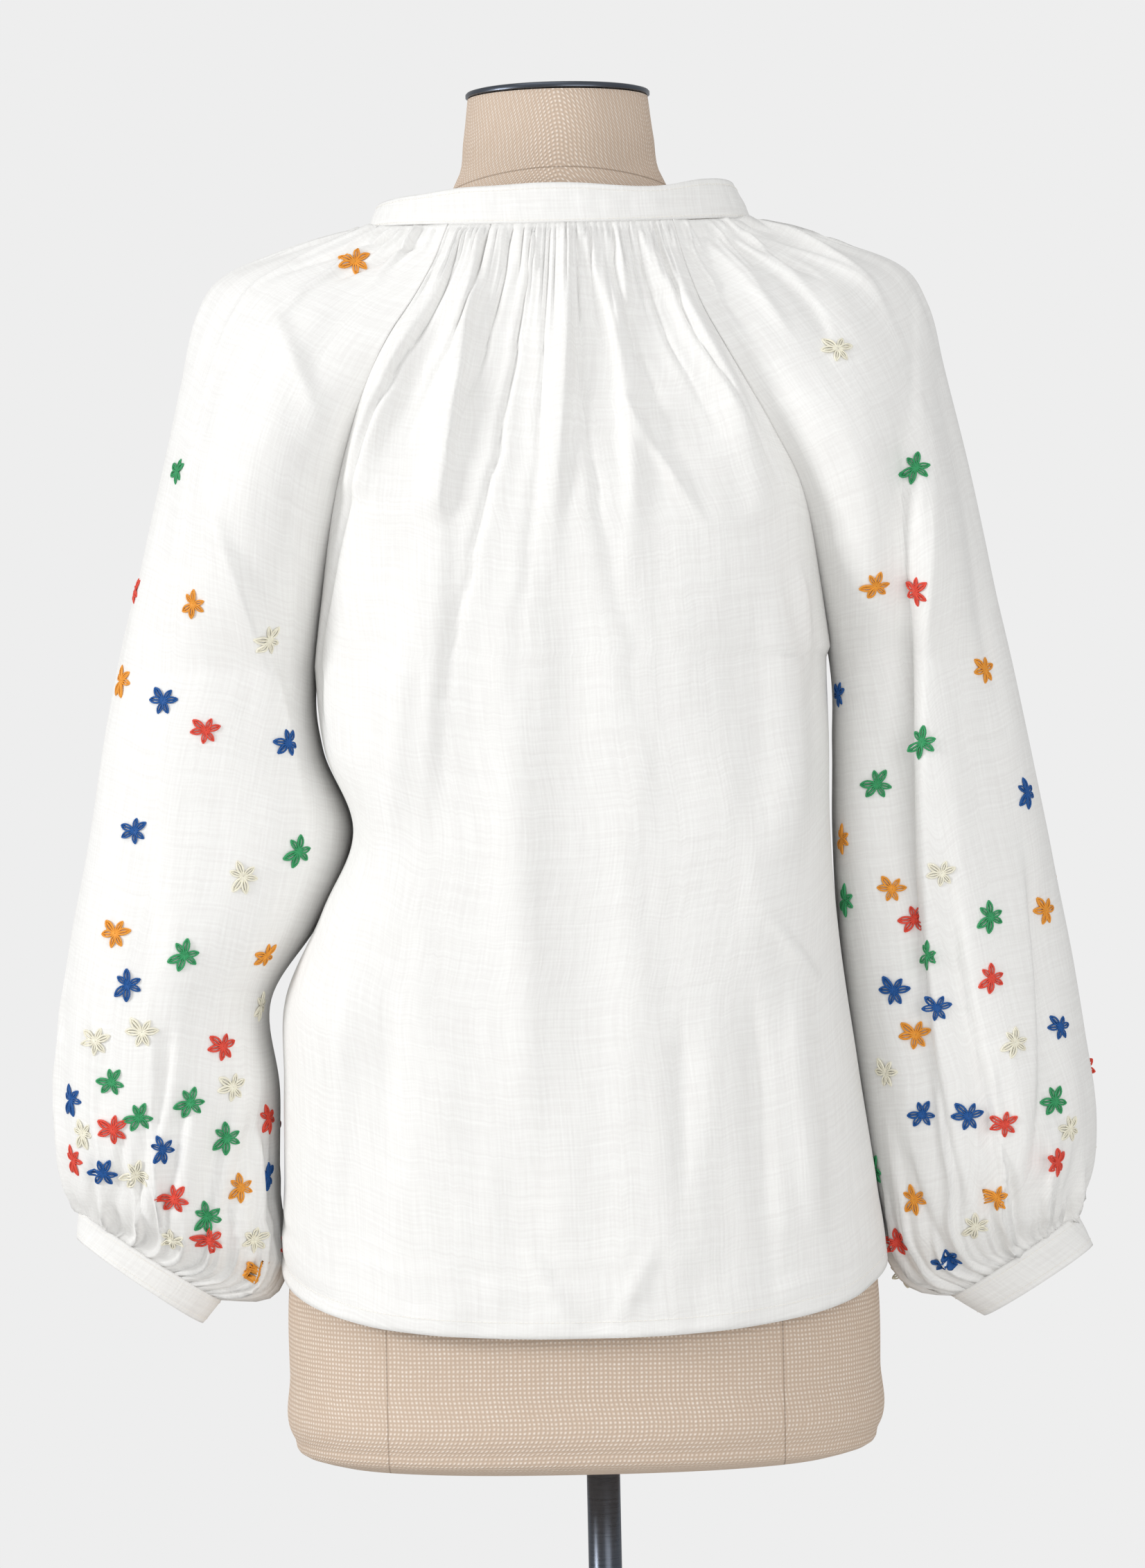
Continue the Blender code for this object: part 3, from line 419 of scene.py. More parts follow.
def fold_lift(folds, x, z):
    """How far the listed folds lift the cloth. A ridge is round and a trough is sharper."""
    lift = np.zeros(np.broadcast(x, z).shape)
    for row in folds[1:]:
        fold = dict(zip(folds[0], row))
        along = (fold["top_z"] - z) / (fold["top_z"] - fold["end_z"])
        middle = (fold["top_z"] - fold["mid_z"]) / (fold["top_z"] - fold["end_z"])
        t = np.clip(along, 0, 1)
        path = (fold["top_x"] * (t - middle) * (t - 1) / middle
                + fold["mid_x"] * t * (t - 1) / (middle * (middle - 1))
                + fold["end_x"] * t * (t - middle) / (1 - middle))
        beside = x - path
        spread = np.where(beside > 0, fold["spread_l"], fold["spread_r"])
        rise = fold["start"] + (1 - fold["start"]) * smooth(0, FOLD_RISEN, t)
        fall = fold["end"] + (1 - fold["end"]) * (1 - smooth(FOLD_EASES, 1, t))
        fade = 1 - smooth(0, FOLD_FADE, np.maximum(-along, along - 1))
        power = RIDGE_POWER if fold["lift"] > 0 else TROUGH_POWER
        lift += fold["lift"] * np.exp(-np.abs(beside / spread) ** power) * rise * fall * fade
    return lift


def uneven(x, y, cell_x, cell_y, seed):
    """A smooth uneven value from -1 to 1 over the cloth, with patches of the size given."""
    steps = np.random.default_rng(seed).uniform(-1, 1, (BUMP_CELLS, BUMP_CELLS))
    x, y = np.broadcast_arrays(x / cell_x + BUMP_START, y / cell_y + BUMP_START)
    i, j = np.floor(x).astype(int), np.floor(y).astype(int)
    s, t = x - i, y - j
    s, t = s * s * (3 - 2 * s), t * t * (3 - 2 * t)
    i, j, k, m = (cell % BUMP_CELLS for cell in (i, j, i + 1, j + 1))
    return ((steps[i, j] * (1 - s) + steps[k, j] * s) * (1 - t)
            + (steps[i, m] * (1 - s) + steps[k, m] * s) * t)


def bumps(rows, x, y, seed):
    """Shallow uneven bumps of every listed size, one on the other."""
    return sum(height * uneven(x, y, across, down, seed + more)
               for height, across, down, more in rows)


def gathers(around, far, count, depth, near_end, far_end, seed):
    """Broad ridges with narrow furrows that fan out from a gathered edge and die away.

    far is the distance from the gathered edge. The furrows differ in place, depth and length, and
    they waver a little on their way.
    """
    phase = count * around + GATHER_SHIFT * uneven(count * around, 0 * far, 2.2, 1.0, seed)
    phase = phase + GATHER_WAVER * uneven(count * around, far, 3.0, 18.0, seed + 4)
    which = np.round(phase)
    away = np.abs(phase - which)
    furrow = np.exp(-(away / FURROW_WIDTH) ** FURROW_SHARPNESS)
    crown = CROWN_HEIGHT * np.cos(2 * math.pi * away)
    height = depth * (1 + DEPTH_VARIES * uneven(which, 0 * far, 0.37, 1.0, seed + 1))
    reach = 1 + REACH_VARIES * uneven(which, 0 * far, 0.41, 1.0, seed + 2)
    fade = 1 - smooth(near_end * reach, far_end * reach, far)
    return height * (crown - FURROW_DEPTH * furrow + CROWN_LEVEL) * fade


def gathering(rows, around, far, count, seed):
    """Gathers of every listed size, one on the other."""
    return sum(gathers(around, far, share * count, depth, near_end, far_end, seed + more)
               for share, depth, near_end, far_end, more in rows)


def arc_map(points):
    """The flat place of every point: the way along its row, centred, and along its column."""
    rows = np.linalg.norm(np.diff(points, axis=1), axis=-1)
    u = np.concatenate((np.zeros((len(points), 1)), np.cumsum(rows, axis=1)), axis=1)
    columns = np.linalg.norm(np.diff(points, axis=0), axis=-1)
    v = np.concatenate((np.zeros((1, points.shape[1])), np.cumsum(columns, axis=0)), axis=0)
    return np.stack((u - u[:, -1:] / 2, v), axis=-1) * MM


def lay_cloth(name, grids, wall, finish, closed=False):
    """One piece of cloth from grids of points, with its flat map, its wall and its material."""
    corners, faces, flat = [], [], []
    for points in grids:
        rows, columns = points.shape[:2]
        index = np.arange(rows * columns).reshape(rows, columns) + len(corners)
        beside = np.roll(index, -1, axis=1) if closed else index[:, 1:]
        here = index if closed else index[:, :-1]
        quads = np.stack((here[:-1], here[1:], beside[1:], beside[:-1]), axis=-1)
        corners.extend((points * MM).reshape(-1, 3).tolist())
        faces.extend(quads.reshape(-1, 4).tolist())
        flat.append(arc_map(points).reshape(-1, 2))
    mesh = bpy.data.meshes.new(name)
    mesh.from_pydata(corners, [], faces)
    places = np.concatenate(flat)
    loops = np.zeros(len(mesh.loops), dtype=np.int32)
    mesh.loops.foreach_get("vertex_index", loops)
    layer = mesh.uv_layers.new(name="Cut")
    layer.data.foreach_set("uv", places[loops].astype(np.float32).ravel())
    mesh.shade_smooth()
    mesh.materials.append(finish)
    piece = new_object(name, mesh)
    if not closed:
        weld = piece.modifiers.new("Weld", "WELD")
        weld.merge_threshold = WELD_REACH * MM
    thick = piece.modifiers.new("Wall", "SOLIDIFY")
    thick.thickness = wall * MM
    thick.offset = 0.0
    return set_shape(piece)


def set_shape(piece):
    """Turns a piece with its modifiers into a plain mesh."""
    graph = bpy.context.evaluated_depsgraph_get()
    mesh = bpy.data.meshes.new_from_object(piece.evaluated_get(graph))
    piece.modifiers.clear()
    piece.data = mesh
    return piece


def warp_and_weft(tree, place, repeat, waviness, join):
    """A plain weave of two sets of threads that repeats every so many mm."""
    sets = [add(tree, "ShaderNodeTexWave", {"Vector": place,
                                            "Scale": 1000 / repeat / BANDS_A_METRE, **waviness},
                bands_direction=way).outputs["Fac"] for way in "XY"]
    return add(tree, "ShaderNodeMath", dict(enumerate(sets)), operation=join).outputs[0]


def streaks(tree, place, cells, detail, roughness=0.5):
    """An uneven pattern drawn out to so many cells a metre each way."""
    drawn = add(tree, "ShaderNodeMapping", {"Vector": place, "Scale": cells})
    return add(tree, "ShaderNodeTexNoise", {"Vector": drawn.outputs["Vector"], "Scale": 1.0,
                                            "Detail": detail, "Roughness": roughness}
               ).outputs["Fac"]


def woven_cotton():
    """White cotton voile: a fine plain weave with thin slubs both ways and a soft, chalky face.

    The real threads are 0.2 mm apart, too fine to show, so the weave repeats every 2.2 mm.
    """
    material, tree, shader = new_finish("White cotton voile", 0.88)
    place = add(tree, "ShaderNodeUVMap", uv_map="Cut").outputs["UV"]
    threads = warp_and_weft(tree, place, COTTON_REPEAT, {"Distortion": 0.6}, "ADD")
    slubs = add(tree, "ShaderNodeMath", {
        0: streaks(tree, place, LONG_SLUBS, 2.0), 1: streaks(tree, place, CROSS_SLUBS, 2.0)},
        operation="ADD").outputs[0]
    crease = streaks(tree, place, CRUMPLES, 4.0, 0.6)
    tone = add(tree, "ShaderNodeMapRange", {"Value": slubs, "From Min": 0.75, "From Max": 1.3})
    shade = add(tree, "ShaderNodeMix", {
        0: tone.outputs[0], 6: linear("#e9e8e6"), 7: linear("#f1f1ef")}, data_type="RGBA")
    tree.links.new(shade.outputs[2], shader.inputs["Base Color"])
    face = shader.inputs["Normal"]
    for height, strength, depth in ((crease, 0.16, 3.0), (slubs, 0.14, 0.5), (threads, 0.08, 0.4)):
        bump = add(tree, "ShaderNodeBump", {
            "Height": height, "Strength": strength, "Distance": depth * MM})
        tree.links.new(bump.outputs["Normal"], face)
        face = bump.inputs["Normal"]
    shader.inputs["Sheen Weight"].default_value = 0.08
    shader.inputs["Specular IOR Level"].default_value = 0.2
    return material


def body_cloth(front, rows, columns, length, folds, count, seed):
    """The points of the back or the front with folds, gathers and small creases."""
    points = body_grid(front, rows, columns)
    across = np.linspace(-1, 1, columns + 1)[None, :]
    at = np.linspace(0, 1, rows + 1)[:, None]
    normal = outward(points) * (-1 if front else 1)
    beside = 1 - np.abs(across)
    edge = smooth(0, FOLDS_FROM_SIDE, beside)
    start = smooth(0, FOLDS_FROM_NECK, at)
    x, z = points[..., 0], points[..., 2]
    far, up = at * length, (1 - at) * length
    lift = fold_lift(folds, x, z) * edge * start
    lift += start * smooth(0, GATHERS_FROM_SIDE, beside) * gathering(
        BODY_GATHERING, (across + 1) / 2, far, count, seed)
    lift += start * edge * bumps(BODY_BUMPS, x, z, seed)
    puckers = uneven(x, up, *HEM_PUCKER_SIZE, seed + 22)
    puckers = puckers * (1 - smooth(*HEM_PUCKERS_FADE, up)) * smooth(*HEM_PUCKERS_START, up)
    lift += HEM_PUCKER_HEIGHT * puckers * edge
    lift -= SEAM_DIP * np.exp(-(beside / SEAM_DIP_REACH) ** 2)
    lift -= HEM_LINE_DIP * np.exp(-((up - HEM_TURN_UP) / HEM_LINE_WIDTH) ** 2)
    return points + normal * lift[..., None]


cotton = woven_cotton()
back_points = body_cloth(False, BACK_ROWS, BACK_COLUMNS, BACK_LENGTH, BACK_FOLDS, BACK_GATHERS, 3)
front_points = body_cloth(True, FRONT_ROWS, FRONT_COLUMNS, FRONT_LENGTH, FRONT_FOLDS,
                          FRONT_GATHERS, 5)
back = lay_cloth("Back", [back_points], CLOTH_WALL, cotton)
middle = FRONT_COLUMNS // 2
slit_rows = np.linspace(0, 1, FRONT_ROWS + 1) < NECK_SLIT_DEPTH_ROW
right_half, left_half = front_points[:, :middle + 1].copy(), front_points[:, middle:].copy()
right_half[slit_rows, -1, 0] -= NECK_SLIT_HALF_WIDTH
left_half[slit_rows, 0, 0] += NECK_SLIT_HALF_WIDTH
front = lay_cloth("Front", [right_half, left_half], CLOTH_WALL, cotton)
for piece, node, flat, area in ((back, "back_panel", (0.52, 0.66), 0.27),
                                (front, "front_panel", (0.51, 0.64), 0.26)):
    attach(piece, "root")
    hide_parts(node)

# The raglan sleeves.
# Each is one piece of the same voile that runs up to the neckline, gathered there and again into
# its cuff, and it balloons over the forearm. Below the underarm it is closed by one seam.
SLEEVE_ROWS, SLEEVE_COLUMNS, SLEEVE_LENGTH, SLEEVE_GIRTH = 190, 220, 640.0, 480
SLEEVE_GATHERS, CUFF_GATHERS, CUFF_GATHER_DEPTH = 17, 22, 3.2
SLEEVE_GATHERING = (
    (1.8, 0.6 * GATHER_DEPTH, 4, 20, 30),
    (1, GATHER_DEPTH, 18, 60, 0),
    (0.5, LONG_GATHER_DEPTH, 40, 150, 10),
)
CUFF_GATHERING = (
    (1.8, 0.45 * CUFF_GATHER_DEPTH, 8, 26, 33),
    (1, 0.8 * CUFF_GATHER_DEPTH, 22, 62, 3),
    (0.5, CUFF_GATHER_DEPTH, 50, 120, 13),
)
SLEEVE_BUMPS = ((1.0, 18, 60, 20), (2.6, 40, 140, 21))
SLEEVE_DIP_REACH, CLOSER_BELOW = 0.010, 0.035
FOLDS_FROM_SEAM, FOLDS_TO_CUFF = 0.10, 0.99
BEHIND_ENDS, BEFORE_STARTS = (0.42, 0.52), (0.48, 0.58)
SLEEVE_LEFT_FOLDS = (
    FOLDS,
    (168, 1420, 154, 1383, 141, 1350, -4.5, 9, 6, 0.2, 0.2),
    (69, 1461, 110, 1447, 147, 1432, 3.0, 6, 4, 0.5, 0.1),
    (102, 1462, 134, 1452, 168, 1440, 3.0, 6, 4, 0.5, 0.1),
    (215, 1331, 180, 1216, 158, 1114, -6.0, 12, 5, 0.2, 0.2),
    (255, 1180, 250, 1080, 255, 980, 3.5, 15, 8, 0.1, 0.1),
    (126, 1096, 147, 1064, 179, 1016, -4.5, 4, 9, 0.3, 0.1),
    (238, 1010, 246, 952, 261, 905, 3.5, 8, 3, 0.1, 0.5),
    (229, 975, 240, 911, 251, 874, 5.0, 9, 3, 0.1, 0.6),
    (205, 960, 216, 902, 225, 866, 5.0, 9, 3, 0.1, 0.6),
    (178, 965, 200, 910, 211, 858, 5.0, 8, 3, 0.1, 0.6),
    (268, 950, 273, 912, 278, 887, 3.5, 3, 7, 0.1, 0.5),
    (287, 928, 289, 912, 292, 892, 2.5, 3, 5, 0.1, 0.5),
    (256, 955, 259, 911, 270, 876, 3.5, 7, 3, 0.1, 0.5),
    (181, 910, 192, 873, 209, 849, 3.5, 6, 3, 0.1, 0.5),
    (180, 885, 190, 857, 205, 841, 3.0, 5, 3, 0.1, 0.5),
)
SLEEVE_RIGHT_FOLDS = (
    FOLDS,
    (-73, 1458, -96, 1414, -116, 1389, 3.0, 6, 3, 0.6, 0.2),
    (-87, 1454, -108, 1429, -136, 1389, -3.0, 5, 7, 0.6, 0.1),
    (-89, 1459, -121, 1439, -154, 1384, 3.5, 8, 3, 0.5, 0.2),
    (-101, 1458, -129, 1444, -157, 1428, 2.5, 5, 3, 0.5, 0.1),
    (-117, 1457, -153, 1444, -184, 1420, -2.5, 5, 5, 0.5, 0.1),
    (-208, 1400, -200, 1228, -196, 985, 14.0, 24, 2.4, 0.1, 0.1),
    (-217, 1370, -209, 1228, -204, 985, -6.0, 4, 14, 0.1, 0.1),
    (-203, 1100, -208, 963, -222, 893, 9.0, 17, 3, 0.1, 0.5),
    (-219, 1080, -237, 959, -256, 885, 9.0, 16, 3, 0.1, 0.5),
    (-266, 1100, -274, 1021, -263, 892, 7.5, 3, 15, 0.1, 0.4),
    (-213, 1420, -232, 1318, -256, 1125, 4.0, 16, 6, 0.1, 0.2),
    (-165, 943, -176, 882, -200, 848, 3.5, 6, 3, 0.1, 0.5),
    (-189, 926, -200, 885, -220, 844, 3.5, 6, 3, 0.1, 0.5),
    (-279, 940, -281, 908, -274, 879, -3.0, 5, 3, 0.1, 0.5),
    (-295, 924, -291, 899, -282, 879, 2.5, 3, 5, 0.1, 0.5),
    (-222, 942, -237, 892, -245, 864, 3.0, 6, 3, 0.1, 0.5),
    (-155, 1070, -164, 984, -173, 906, 3.0, 6, 5, 0.1, 0.2),
)
SLEEVE_FRONT_FOLDS = (
    FOLDS,
    (178, 1415, 170, 1360, 160, 1300, -4.0, 10, 8, 0.2, 0.2),
    (230, 1330, 215, 1180, 205, 1020, 6.0, 13, 7, 0.1, 0.1),
    (246, 1320, 233, 1180, 224, 1020, -7.0, 7, 11, 0.1, 0.1),
    (220, 1010, 236, 930, 248, 880, -4.0, 7, 8, 0.1, 0.5),
    (262, 1060, 268, 960, 272, 895, 4.0, 9, 7, 0.1, 0.4),
    (196, 980, 208, 920, 222, 866, 3.5, 6, 5, 0.1, 0.5),
    (182, 940, 194, 895, 214, 850, -3.0, 5, 6, 0.1, 0.5),
)


def sleeve_grid(table, side, at, columns):
    """The sleeve's cloth: rows from neckline to cuff, columns from back seam to front seam."""
    around = np.linspace(0, 1, columns + 1)[None, :]
    value = {name: read(table, name, at) for name in table[0][1:]}
    value["turn"] = np.where(at >= UNDERARM_AT, 90.0, value["turn"])
    value["seam_y"] = np.where(at >= UNDERARM_AT, 0.0, np.maximum(value["seam_y"], 0.0))
    seam_x = value["seam_x"] + seam_gap(np.minimum(at, UNDERARM_AT)) / 2
    out = stack(value["out_x"], 0 * at, value["out_z"])
    turn = np.radians(value["turn"])
    front_y, front_z = front_seam(at, value["seam_y"], value["seam_z"])
    back = stack(seam_x, value["seam_y"], value["seam_z"])
    front = stack(seam_x, front_y, front_z)
    pull_b, pull_f = value["back_pull"], value["front_pull"]
    leave = stack(pull_b * np.cos(turn), pull_b * np.sin(turn), 0 * at)
    meet = stack(-pull_f * np.cos(turn), pull_f * np.sin(turn), 0 * at)
    over_b, over_f = stack(0, -pull_b, 0), stack(0, -pull_f, 0)
    first = hermite(back, out, leave, over_b, np.clip(2 * around, 0, 1) + 0 * at)
    second = hermite(out, front, over_f, meet, np.clip(2 * around - 1, 0, 1) + 0 * at)
    points = np.where((around <= 0.5)[..., None], first, second)
    points[..., 0] *= side
    return meet_band(points)


def sleeve_cloth(table, side, back_folds, seed):
    """The points of a sleeve with its folds, and its gathers at the neckline and the cuff."""
    at = np.linspace(0, 1, SLEEVE_ROWS + 1)[:, None]
    at = at + CLOSER_BELOW * np.sin(2 * math.pi * at) * (at > 0.5)
    points = sleeve_grid(table, side, at, SLEEVE_COLUMNS)
    around = np.linspace(0, 1, SLEEVE_COLUMNS + 1)[None, :]
    normal = outward(points) * -side
    beside = np.minimum(around, 1 - around)
    edge = smooth(0, FOLDS_FROM_SEAM, beside)
    ends = smooth(0, FOLDS_FROM_NECK, at) * (1 - smooth(FOLDS_TO_CUFF, 1.0, at))
    x, z = points[..., 0], points[..., 2]
    far, up = at * SLEEVE_LENGTH, (1 - at) * SLEEVE_LENGTH
    behind = fold_lift(back_folds, x, z) * (1 - smooth(*BEHIND_ENDS, around))
    before = fold_lift(SLEEVE_FRONT_FOLDS, np.abs(x), z) * smooth(*BEFORE_STARTS, around)
    lift = (behind + before) * edge * ends
    lift += ends * smooth(0, GATHERS_FROM_SIDE, beside) * gathering(
        SLEEVE_GATHERING, around, far, SLEEVE_GATHERS, seed)
    lift += ends * gathering(CUFF_GATHERING, around, up, CUFF_GATHERS, seed)
    lift += ends * edge * bumps(SLEEVE_BUMPS, around * SLEEVE_GIRTH, far, seed)
    lift -= SEAM_DIP * np.exp(-(beside / SLEEVE_DIP_REACH) ** 2)
    points = points + normal * lift[..., None]
    joined = at[:, 0] >= UNDERARM_AT
    points[joined, 0] = points[joined, -1] = ((points[:, 0] + points[:, -1]) / 2)[joined]
    return points


left_points = sleeve_cloth(SLEEVE_LEFT, 1, SLEEVE_LEFT_FOLDS, 30)
right_points = sleeve_cloth(SLEEVE_RIGHT, -1, SLEEVE_RIGHT_FOLDS, 60)
sleeve_left = lay_cloth("Sleeve_left", [left_points], CLOTH_WALL, cotton)
sleeve_right = lay_cloth("Sleeve_right", [right_points], CLOTH_WALL, cotton)
for piece, node in ((sleeve_left, "sleeve_left"), (sleeve_right, "sleeve_right")):
    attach(piece, "root")
    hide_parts(node)

# The band collar.
# A narrow folded strip of the voile that stands on the gathered neckline, leans in towards the
# neck and meets at the centre front. It has sunk a little at the left shoulder.
BAND_WALL, BAND_CLEARANCE = 1.8, -0.8
COLLAR_END_GAP_DEG = 2.2
BAND_PUCKER, PUCKERS_A_DEGREE = 0.5, 1.7
COLLAR = (
    ("angle", "height", "lean"),
    (-90, 23.0, 6),
    (-30, 18.0, 6),
    (0, 15.0, 6),
    (37, 18.0, 8),
    (60, 22.0, 8),
    (90, 24.0, 7),
    (122, 20.5, 7),
    (142, 23.5, 8),
    (165, 23.0, 10),
    (180, 21.0, 10),
    (225, 22.0, 8),
    (270, 23.0, 6),
)
COLLAR_ROWS, COLLAR_COLUMNS = 14, 260


def collar_cloth():
    """The points of the band, from the seam up, with the small puckers that its stitching makes."""
    half_gap = math.radians(COLLAR_END_GAP_DEG)
    angle = np.linspace(-math.pi / 2 + half_gap, 3 * math.pi / 2 - half_gap, COLLAR_COLUMNS + 1)
    up = np.linspace(0, 1, COLLAR_ROWS + 1)[:, None]
    x, y, z = neckline(angle)
    lean = read(COLLAR, "lean", np.degrees(angle)) * up
    top = z + BAND_CLEARANCE + up * read(COLLAR, "height", np.degrees(angle))
    top = top + BAND_PUCKER * uneven(np.degrees(angle), 0 * up, 14, 1, 8) * up
    puckers = uneven(np.degrees(angle) * PUCKERS_A_DEGREE, up * 20, 5, 9, 9)
    swell = BAND_PUCKER * puckers * np.sin(math.pi * up) + BAND_PUCKER * np.sin(math.pi * up)
    shrink = (lean - swell) * np.ones_like(x)
    return stack(x * (1 - shrink / NECK_HALF_WIDTH), y * (1 - shrink / NECK_BACK_DEPTH), top)


collar_points = collar_cloth()
collar = lay_cloth("Collar", [collar_points], BAND_WALL, cotton)
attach(collar, "root")
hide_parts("collar")

# The cuffs.
# Each is a plain folded band of the voile about 20 mm high, closed in a ring, into which the
# full sleeve is gathered. Its ends give the outer and the inner side of its two rings.
CUFF_COLUMNS, CUFF_ROWS = 150, 12
CUFFS = (
    ("side", "outer_x", "outer_z", "inner_x", "inner_z", "low_outer_x", "low_outer_z",
     "low_inner_x", "low_inner_z"),
    (1, 300.2, 888.0, 218.2, 833.4, 302, 872.5, 229, 820.5),
    (-1, 296.3, 873.0, 222.2, 826.2, 305, 855.0, 240, 815.0),
)
CUFF_DEPTH, CUFF_LAP = 21.0, 0.09
CUFF_SWELL, CUFF_PUCKER = 0.010, 0.8


def cuff_cloth(row, seed):
    """The points of a cuff between its two tilted oval rings, slightly puckered."""
    end = dict(zip(CUFFS[0], row))
    angle = np.linspace(0, 2 * math.pi, CUFF_COLUMNS, endpoint=False)[None, :]
    down = np.linspace(0, 1, CUFF_ROWS + 1)[:, None]
    rings = []
    for low in ("", "low_"):
        outer_x, inner_x = end[low + "outer_x"], end[low + "inner_x"]
        outer_z, inner_z = end[low + "outer_z"], end[low + "inner_z"]
        x = (outer_x + inner_x) / 2 + (outer_x - inner_x) / 2 * np.cos(angle)
        z = (outer_z + inner_z) / 2 + (outer_z - inner_z) / 2 * np.cos(angle)
        rings.append(stack(end["side"] * x, CUFF_DEPTH * np.sin(angle), z))
    rings[0] = rings[0] + CUFF_LAP * (rings[0] - rings[1])
    points = rings[0] * (1 - down[..., None]) + rings[1] * down[..., None]
    middle = points.mean(axis=(0, 1))
    ring = np.degrees(angle)
    puckers = CUFF_PUCKER * uneven(ring, down * 20, 9, 9, seed)
    swell = CUFF_SWELL * np.sin(math.pi * down) * (1 + puckers)
    points[..., 0] = middle[0] + (points[..., 0] - middle[0]) * (1 + swell)
    points[..., 1] = points[..., 1] * (1 + swell)
    return points


cuff_points = [cuff_cloth(CUFFS[1], 21), cuff_cloth(CUFFS[2], 22)]
for name, node, points, flat in (("Cuff_left", "cuff_left", cuff_points[0], (0.220, 0.019)),
                                 ("Cuff_right", "cuff_right", cuff_points[1], (0.215, 0.022))):
    cuff = lay_cloth(name, [points], BAND_WALL, cotton, closed=True)
    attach(cuff, "root")
    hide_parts(node)

# The topstitching.
# White cotton thread in short even stitches: two rows on the collar, one above the hem, one along
# each cuff, and one beside the raglan seams. Real stitches are 2.5 mm long.
STITCH_PITCH, STITCH_LENGTH, STITCH_RADIUS, STITCH_RISE = 3.0, 2.1, 0.27, 0.1
THREAD_FUZZ_A_METRE = 900.0


def new_tree(name, inputs, output):
    """An empty geometry tree with its named inputs and its one output."""
    tree = bpy.data.node_groups.new(name, "GeometryNodeTree")
    for label, kind in inputs:
        tree.interface.new_socket(name=label, in_out="INPUT", socket_type="NodeSocket" + kind)
    tree.interface.new_socket(name=output, in_out="OUTPUT", socket_type="NodeSocketGeometry")
    return tree


def end_tree(tree, instances, material, output):
    """Ends a tree in real faces that wear their material."""
    real = add(tree, "GeometryNodeRealizeInstances", {"Geometry": instances})
    painted = add(tree, "GeometryNodeSetMaterial", {
        "Geometry": real.outputs["Geometry"], "Material": material})
    add(tree, "NodeGroupOutput", {output: painted.outputs["Geometry"]})


def stitch_tree():
    """Short rounds of thread set end to end along a path."""
    tree = new_tree("Stitches along a path", (
        ("Path", "Geometry"), ("Pitch", "Float"), ("Stitch length", "Float"),
        ("Thread radius", "Float"), ("Thread", "Material")), "Stitches")
    given = add(tree, "NodeGroupInput").outputs
    steps = add(tree, "GeometryNodeCurveToPoints", {
        "Curve": given["Path"], "Length": given["Pitch"]}, mode="LENGTH")
    stitch = add(tree, "GeometryNodeMeshCylinder", {
        "Vertices": 5, "Side Segments": 1, "Radius": given["Thread radius"],
        "Depth": given["Stitch length"]})
    sewn = add(tree, "GeometryNodeInstanceOnPoints", {
        "Points": steps.outputs["Points"], "Instance": stitch.outputs["Mesh"],
        "Rotation": steps.outputs["Rotation"]})
    end_tree(tree, sewn.outputs["Instances"], given["Thread"], "Stitches")
    return tree


def set_inputs(modifier, tree, values):
    """Sets a modifier's inputs by the names that its tree gives them."""
    for item in tree.interface.items_tree:
        if item.in_out == "INPUT" and item.name in values:
            modifier[item.identifier] = values[item.name]


def sewing_thread():
    """Mercerised cotton thread: white, smooth and a little brighter than the cloth it sews."""
    material, tree, shader = new_finish("White sewing thread", 0.6)
    place = add(tree, "ShaderNodeTexCoord").outputs["Object"]
    fuzz = add(tree, "ShaderNodeTexNoise", {
        "Vector": place, "Scale": THREAD_FUZZ_A_METRE, "Detail": 2.0})
    shade = add(tree, "ShaderNodeMix", {
        0: fuzz.outputs["Fac"], 6: linear("#e9e5dc"), 7: linear("#fbfaf7")}, data_type="RGBA")
    tree.links.new(shade.outputs[2], shader.inputs["Base Color"])
    return material


def stitch_paths():
    """Every sewn row: along the hems, beside the raglan seams, on the collar and on the cuffs."""
    paths = []
    on_cloth, on_band = STITCH_RISE + CLOTH_WALL / 2, BAND_WALL / 2 + STITCH_RISE
    for points, side, length in ((back_points, 1, BACK_LENGTH), (front_points, -1, FRONT_LENGTH)):
        row = int(round((len(points) - 1) * (1 - HEM_TURN_UP / length)))
        paths.append((points + outward(points) * side * on_cloth)[row, 2:-2])
    for points, side in ((left_points, -1), (right_points, 1)):
        raised = points + outward(points) * side * on_cloth
        paths += [raised[3:len(points) // 2, column] for column in (2, -3)]
    out = outward(collar_points)
    out *= np.sign((out * (collar_points - collar_points.mean(axis=(0, 1)))).sum(-1, keepdims=True))
    paths += [(collar_points + out * on_band)[row] for row in (1, COLLAR_ROWS - 2)]
    for points in cuff_points:
        away = points - points.mean(axis=1, keepdims=True)
        raised = points + away / np.linalg.norm(away, axis=-1, keepdims=True) * on_band
        paths += [np.concatenate((raised[row], raised[row, :1])) for row in (2, CUFF_ROWS - 2)]
    return paths


thread = sewing_thread()
path_data = bpy.data.curves.new("Topstitching", "CURVE")
path_data.dimensions = "3D"
for path in stitch_paths():
    spline = path_data.splines.new("POLY")
    spline.points.add(len(path) - 1)
    spline.points.foreach_set("co", np.c_[path * MM, np.ones(len(path))].ravel())
path_object = new_object("Topstitching_path", path_data)
stitches = stitch_tree()
sewing = path_object.modifiers.new("Stitches", "NODES")
sewing.node_group = stitches
set_inputs(sewing, stitches, {
    "Pitch": STITCH_PITCH * MM, "Stitch length": STITCH_LENGTH * MM,
    "Thread radius": STITCH_RADIUS * MM, "Thread": thread})
graph = bpy.context.evaluated_depsgraph_get()
stitch_mesh = bpy.data.meshes.new_from_object(path_object.evaluated_get(graph))
bpy.data.objects.remove(path_object)
topstitching = new_object("Topstitching", stitch_mesh)
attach(topstitching, "root")

